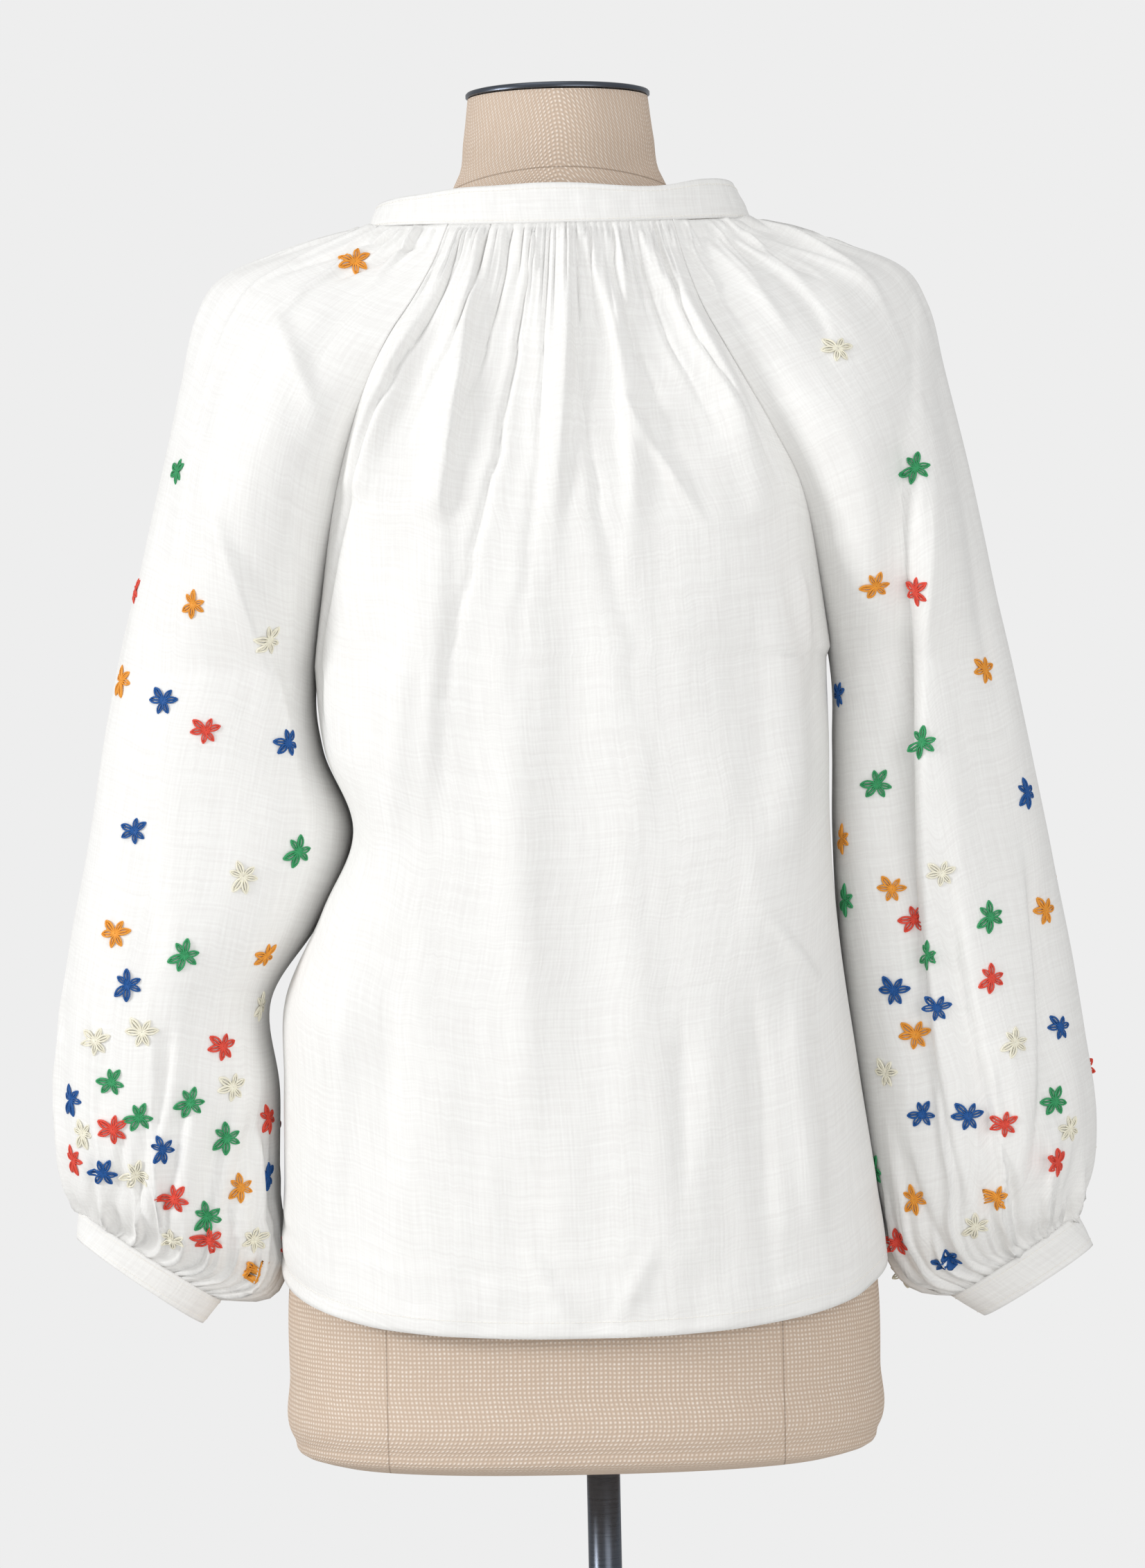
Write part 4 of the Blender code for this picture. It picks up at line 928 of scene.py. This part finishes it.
# The embroidered flowers.
# Lazy-daisy flowers about 16 mm across in six-strand floss, six padded petals each, worked by
# hand over both sleeves and closer together towards the cuffs. One piece for each floss colour.
PETALS, PETAL_LENGTH, PETAL_SPREAD, FLOSS_RADIUS, FLOSS_SPAN = 6, 9.1, 3.3, 0.60, 1.6
FLOWER_SIZES, FLOWER_TURN, FLOWER_REACH = (0.94, 1.1), 2, 6
PETAL_SWAY, PETAL_GROWTH, PETAL_BASE = 0.20, (0.82, 1.08), (0.0001, 0, 0.0003)
PETAL_STRANDS = ((1.0, 0.17, 1.0), (0.0, 0.10, 0.86), (-1.0, 0.17, 1.0))
FLOSS_GRAIN_A_METRE = 420.0
FLOSS = {"blue": "#1c589e", "green": "#3aa066", "coral": "#e8503f", "orange": "#f2a23a",
         "cream": "#fbf3e0"}
FLOWERS_BEHIND = (
    ("floss", "x", "z"),
    ("orange", 121, 1448), ("green", 228, 1327), ("coral", 256, 1258), ("orange", 219, 1248),
    ("orange", 265, 1205), ("blue", 239, 1192), ("coral", 214, 1174), ("blue", 167, 1166),
    ("cream", 176, 1226), ("blue", 258, 1116), ("green", 162, 1102), ("cream", 194, 1088),
    ("orange", 270, 1056), ("green", 229, 1043), ("orange", 183, 1041), ("blue", 263, 1026),
    ("cream", 177, 1008), ("cream", 283, 993), ("cream", 255, 998), ("coral", 209, 988),
    ("green", 274, 969), ("cream", 204, 964), ("blue", 300, 958), ("green", 228, 956),
    ("green", 258, 948), ("coral", 177, 944), ("coral", 274, 941), ("cream", 293, 938),
    ("green", 208, 934), ("blue", 245, 929), ("coral", 300, 922), ("blue", 281, 915),
    ("cream", 262, 914), ("blue", 178, 908), ("orange", 201, 904), ("coral", 239, 899),
    ("green", 221, 888), ("coral", 220, 873), ("cream", 242, 874), ("cream", 195, 872),
    ("coral", 178, 864), ("orange", 197, 855), ("cream", -160, 1388), ("green", -204, 1318),
    ("orange", -180, 1250), ("coral", -203, 1246), ("orange", -244, 1200), ("blue", -160, 1188),
    ("green", -205, 1158), ("green", -180, 1134), ("blue", -268, 1127), ("orange", -154, 1102),
    ("cream", -215, 1081), ("orange", -187, 1072), ("green", -153, 1065), ("orange", -278, 1057),
    ("green", -243, 1055), ("coral", -200, 1054), ("green", -206, 1033), ("coral", -243, 1019),
    ("blue", -187, 1012), ("blue", -211, 1002), ("blue", -285, 988), ("orange", -199, 986),
    ("cream", -256, 981), ("cream", -182, 963), ("green", -280, 945), ("blue", -202, 939),
    ("blue", -228, 938), ("coral", -249, 933), ("cream", -289, 928), ("coral", -280, 909),
    ("green", -176, 904), ("orange", -245, 889), ("orange", -197, 888), ("cream", -232, 872),
    ("coral", -188, 861), ("blue", -218, 852),
)
# Where the front's flowers are scattered: their number and spacing, their lowest place and its
# span, how far they crowd downwards, and how far out they lie.
FRONT_FLOWERS, FRONT_SPACING = 44, 24.0
FRONT_LOW, FRONT_SPAN, FRONT_CROWDING, FRONT_OUT = 840, 560, 1.7, (140, 312)
SPARSER_ABOVE, SCATTER_TRIES = ((1100, 1.3), (980, 0.5)), 4000
# The sleeves' surface is looked for in metres, from this far before and behind.
LOOK_FROM, SIDE_Y, SIDE_ON, STEEP = 0.4, 0.03, 0.15, 0.2
FRONT_Y, FRONT_FACING = -0.012, -0.3
FACE_SEARCH, FLOSS_SEARCH, FLOSS_CLEAR = 0.010, 0.006, 0.0001


def flower_tree():
    """A flower of looped petals, set on every point along its turn and scaled by its size."""
    tree = new_tree("Lazy daisy flowers", (
        ("Places", "Geometry"), ("Petal length", "Float"), ("Petal spread", "Float"),
        ("Floss radius", "Float"), ("Petals", "Int"), ("Floss", "Material")), "Flowers")
    given = add(tree, "NodeGroupInput").outputs
    strands = add(tree, "GeometryNodeJoinGeometry")
    for share, height, reach in PETAL_STRANDS:
        half, aside, high, far = (
            add(tree, "ShaderNodeMath", {0: given[size], 1: times}, operation="MULTIPLY").outputs[0]
            for size, times in (("Petal length", 0.60), ("Petal spread", share),
                                ("Petal length", height), ("Petal length", reach)))
        middle = add(tree, "ShaderNodeCombineXYZ", {0: half, 1: aside, 2: high})
        tip = add(tree, "ShaderNodeCombineXYZ", {0: far})
        strand = add(tree, "GeometryNodeCurveQuadraticBezier", {
            "Resolution": 6, "Start": PETAL_BASE, "Middle": middle.outputs[0],
            "End": tip.outputs[0]})
        tree.links.new(strand.outputs["Curve"], strands.inputs[0])
    section = add(tree, "GeometryNodeCurvePrimitiveCircle", {
        "Resolution": 5, "Radius": given["Floss radius"]})
    petal = add(tree, "GeometryNodeCurveToMesh", {
        "Curve": strands.outputs[0], "Profile Curve": section.outputs["Curve"], "Fill Caps": True})
    hub = add(tree, "GeometryNodeMeshCircle", {"Vertices": given["Petals"], "Radius": 0.0002})
    number = add(tree, "GeometryNodeInputIndex")
    step = add(tree, "ShaderNodeMath", {0: 2 * math.pi, 1: given["Petals"]}, operation="DIVIDE")
    sway = add(tree, "FunctionNodeRandomValue", {
        2: -PETAL_SWAY, 3: PETAL_SWAY, "Seed": 4}, data_type="FLOAT")
    turn = add(tree, "ShaderNodeMath", {
        0: number.outputs[0], 1: step.outputs[0], 2: sway.outputs[1]}, operation="MULTIPLY_ADD")
    spin = add(tree, "ShaderNodeCombineXYZ", {2: turn.outputs[0]})
    grow = add(tree, "FunctionNodeRandomValue", {
        2: PETAL_GROWTH[0], 3: PETAL_GROWTH[1], "Seed": 9}, data_type="FLOAT")
    flower = add(tree, "GeometryNodeInstanceOnPoints", {
        "Points": hub.outputs["Mesh"], "Instance": petal.outputs["Mesh"],
        "Rotation": spin.outputs[0], "Scale": grow.outputs[1]})
    lie = add(tree, "GeometryNodeInputNamedAttribute", {"Name": "lie"}, data_type="FLOAT_VECTOR")
    size = add(tree, "GeometryNodeInputNamedAttribute", {"Name": "size"}, data_type="FLOAT")
    bed = add(tree, "GeometryNodeInstanceOnPoints", {
        "Points": given["Places"], "Instance": flower.outputs["Instances"],
        "Rotation": lie.outputs["Attribute"], "Scale": size.outputs["Attribute"]})
    end_tree(tree, bed.outputs["Instances"], given["Floss"], "Flowers")
    return tree


def embroidery_floss(name, code):
    """Six-strand mercerised cotton floss: bright, with a silky gloss and finely twisted strands."""
    material, tree, shader = new_finish(name, 0.48)
    place = add(tree, "ShaderNodeTexCoord").outputs["Object"]
    patch = add(tree, "ShaderNodeTexNoise", {
        "Vector": place, "Scale": FLOSS_GRAIN_A_METRE, "Detail": 3.0})
    dark, light = ((*(min(1.0, times * c) for c in linear(code)[:3]), 1.0)
                   for times in (0.72, 1.10))
    shade = add(tree, "ShaderNodeMix", {
        0: patch.outputs["Fac"], 6: dark, 7: light}, data_type="RGBA")
    bump = add(tree, "ShaderNodeBump", {
        "Strength": 0.3, "Distance": 0.0003, "Height": patch.outputs["Fac"]})
    tree.links.new(shade.outputs[2], shader.inputs["Base Color"])
    tree.links.new(bump.outputs["Normal"], shader.inputs["Normal"])
    shader.inputs["Specular IOR Level"].default_value = 0.3
    return material


def cloth_surface(piece):
    """A search tree of a piece's triangles."""
    mesh = piece.data
    mesh.calc_loop_triangles()
    return BVHTree.FromPolygons([v.co for v in mesh.vertices],
                                [t.vertices[:] for t in mesh.loop_triangles])


def face_round(surface, centre, normal):
    """The way that the cloth faces over a flower's width, not just at its middle."""
    total = normal.copy()
    for x, z in ((1, 0), (-1, 0), (0, 1), (0, -1)):
        start = centre + Vector((x, 0, z)) * FLOWER_REACH * MM + normal * FACE_SEARCH
        hit = surface.ray_cast(start, -normal, 2 * FACE_SEARCH)
        if hit[0] is not None and hit[1].dot(normal) > STEEP:
            total += hit[1]
    return total.normalized()


def settle(surface, centre, normal, rng):
    """How one flower lies: its cloth, its place, the way it faces, its turn and its size."""
    return (surface, centre, face_round(surface, centre, normal), rng.uniform(0, FLOWER_TURN),
            rng.uniform(*FLOWER_SIZES))


def find_places():
    """Where each flower lies: on the back as listed, and on the front by a seeded scatter."""
    rng = np.random.default_rng(12)
    places = {name: [] for name in FLOSS}
    for name, x, z in FLOWERS_BEHIND[1:]:
        surface = surfaces[0] if x > 0 else surfaces[1]
        hit = surface.ray_cast(Vector((x * MM, LOOK_FROM, z * MM)), Vector((0, -1, 0)))
        if hit[0] is None or hit[1].y < SIDE_ON:
            hit = surface.find_nearest(Vector((x * MM, SIDE_Y, z * MM)))
            if hit[1].y <= 0 and abs(hit[1].x) <= 0.5:
                hit = (hit[0], -hit[1])
        places[name].append(settle(surface, hit[0], hit[1], rng))
    names = list(FLOSS)
    for side, surface in zip((1, -1), surfaces):
        taken = []
        for _ in range(SCATTER_TRIES):
            if len(taken) >= FRONT_FLOWERS:
                break
            z = FRONT_LOW + FRONT_SPAN * rng.uniform() ** FRONT_CROWDING
            x = side * rng.uniform(*FRONT_OUT)
            spacing = FRONT_SPACING * (1 + sum(more * (z > above) for above, more in SPARSER_ABOVE))
            if any((x - a) ** 2 + (z - b) ** 2 < spacing ** 2 for a, b in taken):
                continue
            hit = surface.ray_cast(Vector((x * MM, -LOOK_FROM, z * MM)), Vector((0, 1, 0)))
            if hit[0] is None or hit[0].y > FRONT_Y or hit[1].y > FRONT_FACING:
                continue
            taken.append((x, z))
            places[names[rng.integers(5)]].append(settle(surface, hit[0], hit[1], rng))
    return places


def lay_on_cloth(mesh, spots):
    """Moves each flower's points along its normal, so that the petals follow the cloth.

    Where a fold is narrow and deep the floss spans it, as taut stitches do.
    """
    points = np.array([v.co for v in mesh.vertices]).reshape(len(spots), -1, 3)
    for flower, (surface, centre, normal, _, _) in zip(points, spots):
        for point in flower:
            height = (Vector(point) - centre).dot(normal)
            start = Vector(point) - normal * height
            hit = surface.ray_cast(start + normal * FLOSS_SEARCH, -normal, 2 * FLOSS_SEARCH)
            if hit[0] is not None:
                sunk = max((hit[0] - start).dot(normal), -FLOSS_SPAN * MM)
                point[:] = start + normal * (sunk + height + FLOSS_CLEAR)
    mesh.vertices.foreach_set("co", points.ravel())
    mesh.update()


surfaces = (cloth_surface(sleeve_left), cloth_surface(sleeve_right))
flowers = flower_tree()
for floss_name, spots in find_places().items():
    floss = embroidery_floss(floss_name.capitalize() + " embroidery floss", FLOSS[floss_name])
    mesh = bpy.data.meshes.new("Places")
    mesh.from_pydata([spot[1] for spot in spots], [], [])
    lies = [(spot[2].to_track_quat("Z", "Y") @ Euler((0, 0, spot[3])).to_quaternion()).to_euler()
            for spot in spots]
    lie = mesh.attributes.new("lie", "FLOAT_VECTOR", "POINT")
    lie.data.foreach_set("vector", np.array([e[:] for e in lies], dtype=np.float32).ravel())
    size = mesh.attributes.new("size", "FLOAT", "POINT")
    size.data.foreach_set("value", np.array([spot[4] for spot in spots], dtype=np.float32))
    bed = new_object("Flowers_" + floss_name, mesh)
    sewn = bed.modifiers.new("Flowers", "NODES")
    sewn.node_group = flowers
    set_inputs(sewn, flowers, {
        "Petal length": PETAL_LENGTH * MM, "Petal spread": PETAL_SPREAD * MM,
        "Floss radius": FLOSS_RADIUS * MM, "Petals": PETALS, "Floss": floss})
    set_shape(bed)
    lay_on_cloth(bed.data, spots)
    bed.data.shade_smooth()
    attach(bed, "root")

# The linen torso.
# A padded limbless form with a neck, covered in natural linen, with long panel seams down its
# back and front and a stitched seam round the neck. It fills and carries the blouse.

# The torso's rings from the flat underside up: half width, depth behind and before the middle, and
# how square the ring is.
TORSO = (
    ("z", "half_width", "back", "front", "square"),
    (737, 152, 96, -90, 2.4),
    (741, 166, 110, -104, 2.4),
    (752, 174.5, 118, -112, 2.4),
    (790, 176.5, 119, -115, 2.4),
    (840, 176, 118, -115, 2.3),
    (900, 166, 112, -110, 2.3),
    (955, 150, 106, -104, 2.3),
    (1010, 131, 94, -94, 2.2),
    (1062, 116, 86, -88, 2.2),
    (1120, 119, 90, -92, 2.2),
    (1180, 132, 97, -106, 2.2),
    (1240, 140, 101, -116, 2.1),
    (1290, 149, 101, -114, 2.0),
    (1345, 172, 95, -100, 2.0),
    (1385, 194, 86, -86, 2.0),
    (1412, 204, 78, -74, 2.0),
    (1434, 198, 62, -52, 2.0),
    (1455.5, 168, 46, -36, 2.0),
    (1469, 124, 46, -38, 2.0),
    (1476, 98, 47, -42, 2.0),
    (1487, 73, 48, -47, 2.0),
    (1500, 62, 47, -48, 2.0),
    (1525, 57, 47, -49, 2.0),
    (1549, 54, 45, -47, 2.0),
)
TORSO_RINGS, TORSO_COLUMNS, SHARP_DEG = 190, 128, 50
FOOT_RINGS, FOOT_Z = 14, 770
UNDER_CLOTH, HIDDEN_FROM, HIDDEN_TO = 2.5, (880, 930), (1470, 1484)
SEAM_GROOVE, GROOVE_RADIUS, PANEL_GROOVE, NECK_GROOVE = 0.9, 130, 2.2, 2.0
PANEL_SEAMS_END = (1470, 1500)
NECK_SEAM_Z, NECK_SEAM_DROP, NECK_SEAM_CURVE = 1502.5, 7.0, 1.94
PANEL_SEAM_DEG = (52, 128, 232, 308)
# Where the panel seams lie, and the width and strength of the thin line of painted shade drawn
# along every seam groove.
PANEL_SEAM_X, SEAM_WIDTH, SEAM_SHADE = 115.0, 0.45, 0.55
LINEN_REPEAT = 2.6
LINEN_SLUBS, LINEN_STRIPES = (60, 620, 1), (620, 60, 1)


def natural_linen():
    """Natural linen: a coarse basket weave of beige threads with paler and darker slubs.

    The threads are about 1 mm apart, and the weave repeats every 2.6 mm so that it shows. A thin
    brown line along the panel seams and the neck seam is painted shade in their grooves.
    """
    material, tree, shader = new_finish("Natural linen", 0.92)
    place = add(tree, "ShaderNodeUVMap", uv_map="Cut").outputs["UV"]
    weave = warp_and_weft(tree, place, LINEN_REPEAT, {"Distortion": 1.2, "Detail": 1.0}, "MULTIPLY")
    slubs = add(tree, "ShaderNodeMath", {
        0: streaks(tree, place, LINEN_SLUBS, 3.0), 1: streaks(tree, place, LINEN_STRIPES, 3.0)},
        operation="ADD").outputs[0]
    tone = add(tree, "ShaderNodeMapRange", {"Value": slubs, "From Min": 0.7, "From Max": 1.3})
    yarn = add(tree, "ShaderNodeMix", {
        0: tone.outputs[0], 6: linear("#ecdac8"), 7: linear("#fff5ea")}, data_type="RGBA")
    deep = add(tree, "ShaderNodeMix", {
        0: weave, 6: linear("#c9b4a1"), 7: yarn.outputs[2]}, data_type="RGBA")
    spot = add(tree, "ShaderNodeTexCoord").outputs["Object"]
    spot = add(tree, "ShaderNodeSeparateXYZ", {0: spot}).outputs
    aside = add(tree, "ShaderNodeMath", {0: spot["X"]}, operation="ABSOLUTE")
    squared = add(tree, "ShaderNodeMath", {0: spot["X"], 1: spot["X"]}, operation="MULTIPLY")
    level = add(tree, "ShaderNodeMath", {
        0: squared.outputs[0], 1: NECK_SEAM_CURVE, 2: spot["Z"]}, operation="MULTIPLY_ADD")
    # The seam grooves are too narrow for the mesh to shade, so a thin brown line of painted shade
    # is drawn along the panel seams and round the neck seam.
    panel_seam, neck_seam = (
        add(tree, "ShaderNodeMath", {0: way.outputs[0], 1: line * MM, 2: SEAM_WIDTH * MM},
            operation="COMPARE") for way, line in ((aside, PANEL_SEAM_X), (level, NECK_SEAM_Z)))
    seams = add(tree, "ShaderNodeMath", {
        0: panel_seam.outputs[0], 1: neck_seam.outputs[0]}, operation="MAXIMUM")
    seam_painted_shade = add(tree, "ShaderNodeMath", {0: seams.outputs[0], 1: SEAM_SHADE}, operation="MULTIPLY")
    # Mixes the painted seam shade into the weave's colour.
    sewn = add(tree, "ShaderNodeMix", {
        0: seam_painted_shade.outputs[0], 6: deep.outputs[2], 7: linear("#8c7867")}, data_type="RGBA")
    bump = add(tree, "ShaderNodeBump", {"Strength": 0.7, "Distance": 0.0007, "Height": weave})
    tree.links.new(sewn.outputs[2], shader.inputs["Base Color"])
    tree.links.new(bump.outputs["Normal"], shader.inputs["Normal"])
    shader.inputs["Specular IOR Level"].default_value = 0.15
    return material


def torso_shape():
    """The rings of the torso from below, a little slimmer where the blouse hides it."""
    low, high = TORSO[1][0], TORSO[-1][0]
    z = np.concatenate((np.linspace(low, FOOT_Z, FOOT_RINGS, endpoint=False),
                        np.linspace(FOOT_Z, high, TORSO_RINGS - FOOT_RINGS + 1)))[:, None]
    angle = np.linspace(0, 2 * math.pi, TORSO_COLUMNS + 1)[None, :]
    cos, sin = np.cos(angle), np.sin(angle)
    power = 2 / read(TORSO, "square", z)
    hidden = UNDER_CLOTH * (smooth(*HIDDEN_FROM, z) * (1 - smooth(*HIDDEN_TO, z)))
    x = (read(TORSO, "half_width", z) - hidden) * (np.sign(cos) * np.abs(cos) ** power)
    depth = np.where(sin > 0, read(TORSO, "back", z), -read(TORSO, "front", z))
    y = (depth - hidden) * np.sign(sin) * np.abs(sin) ** power
    seam = np.zeros(np.broadcast(z, angle).shape)
    for degrees in PANEL_SEAM_DEG:
        away = (angle - math.radians(degrees)) * GROOVE_RADIUS
        seam += np.exp(-(away / PANEL_GROOVE) ** 2) * (1 - smooth(*PANEL_SEAMS_END, z))
    neck_line = NECK_SEAM_Z - NECK_SEAM_DROP * cos ** 2
    seam += np.exp(-((z - neck_line) / NECK_GROOVE) ** 2)
    shrink = 1 - SEAM_GROOVE * seam / GROOVE_RADIUS
    return stack(x * shrink, y * shrink, z)


def ring_mesh(name, rings, finish):
    """A closed mesh of rings of points, each joined to the next, with a flat face at both ends."""
    index = np.arange(rings.size // 3).reshape(rings.shape[:2])
    beside = np.roll(index, -1, axis=1)
    faces = np.stack((index[:-1], beside[:-1], beside[1:], index[1:]), axis=-1).reshape(-1, 4)
    mesh = bpy.data.meshes.new(name)
    mesh.from_pydata((rings.reshape(-1, 3) * MM).tolist(), [],
                     faces.tolist() + [index[0, ::-1].tolist(), index[-1].tolist()])
    mesh.shade_smooth()
    mesh.set_sharp_from_angle(angle=math.radians(SHARP_DEG))
    mesh.materials.append(finish)
    return mesh


def cover_torso(points, finish):
    """The torso's mesh with its flat map, closed below and above."""
    mesh = ring_mesh("Torso", points[:, :-1], finish)
    flat = arc_map(points)
    sides = np.stack((flat[:-1, :-1], flat[:-1, 1:], flat[1:, 1:], flat[1:, :-1]), axis=2)
    places = np.concatenate((sides.reshape(-1, 2), points[0, -2::-1, :2] * MM,
                             points[-1, :-1, :2] * MM))
    layer = mesh.uv_layers.new(name="Cut")
    layer.data.foreach_set("uv", places.astype(np.float32).ravel())
    return mesh


linen = natural_linen()
torso = new_object("Torso", cover_torso(torso_shape(), linen))
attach(torso, "root")
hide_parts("torso")

# The neck cap, the pole and the base.
# Turned and spun steel with a dark, softly polished finish: a thin domed cap on the neck, a tube
# under the torso, a hub that grips it, and a flat round base. Each is turned from a profile.
CAP_Z, CAP_RIM = 1549.3, 1.2
POLE_X = -9.5
TURNED_STEPS = 96
NECK = dict(zip(TORSO[0], TORSO[-1]))
STAND = (
    ("name", "node", "centre_x", "base_z", "wide", "deep", "profile of radius and height"),
    ("Neck_cap", "neck_cap", 0.0, CAP_Z, NECK["half_width"] + CAP_RIM, NECK["back"] + CAP_RIM,
     ((0.97, 0), (1.0, 0.8), (1.0, 2.6), (0.985, 3.5), (0.95, 4.0))),
    ("Pole", "pole", POLE_X, 0.0, 1.0, 1.0, ((9.4, 35.6), (10, 36.2), (10, 736.1), (9.4, 736.7))),
    ("Base_hub", "base_hub", POLE_X, 0.0, 1.0, 1.0,
     ((23.6, 9.3), (24, 9.8), (24, 24.5), (22.5, 30.5), (19.5, 34.2), (17.5, 35.3))),
    ("Base", "base", POLE_X, 0.0, 1.0, 1.0,
     ((149, 0), (150, 1.0), (150, 6.6), (149.3, 8.2), (147.4, 9.0))),
)
TURNING_MARKS = (40, 40, 900)


def dark_steel():
    """Dark lacquered steel: near black blue grey, smooth, with a soft gloss and turning marks."""
    material, tree, shader = new_finish("Dark lacquered steel", 0.28)
    place = add(tree, "ShaderNodeTexCoord").outputs["Object"]
    marks = streaks(tree, place, TURNING_MARKS, 2.0)
    shade = add(tree, "ShaderNodeMix", {
        0: marks, 6: linear("#4a4f58"), 7: linear("#666c76")}, data_type="RGBA")
    worn = add(tree, "ShaderNodeMapRange", {"Value": marks, "To Min": 0.22, "To Max": 0.36})
    tree.links.new(shade.outputs[2], shader.inputs["Base Color"])
    tree.links.new(worn.outputs[0], shader.inputs["Roughness"])
    shader.inputs["Metallic"].default_value = 1.0
    return material


def turned(name, profile, centre_x, wide, deep, base_z, finish):
    """A piece turned from a profile of radius and height, drawn out to an oval where asked."""
    radius, height = np.array(profile, float).T[..., None]
    angle = np.linspace(0, 2 * math.pi, TURNED_STEPS, endpoint=False)
    rings = stack(centre_x + radius * wide * np.cos(angle), radius * deep * np.sin(angle),
                  base_z + height)
    return new_object(name, ring_mesh(name, rings, finish))


steel = dark_steel()
for name, node, centre_x, base_z, wide, deep, profile in STAND[1:]:
    piece = turned(name, profile, centre_x, wide, deep, base_z, steel)
    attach(piece, "root")
    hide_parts(node)
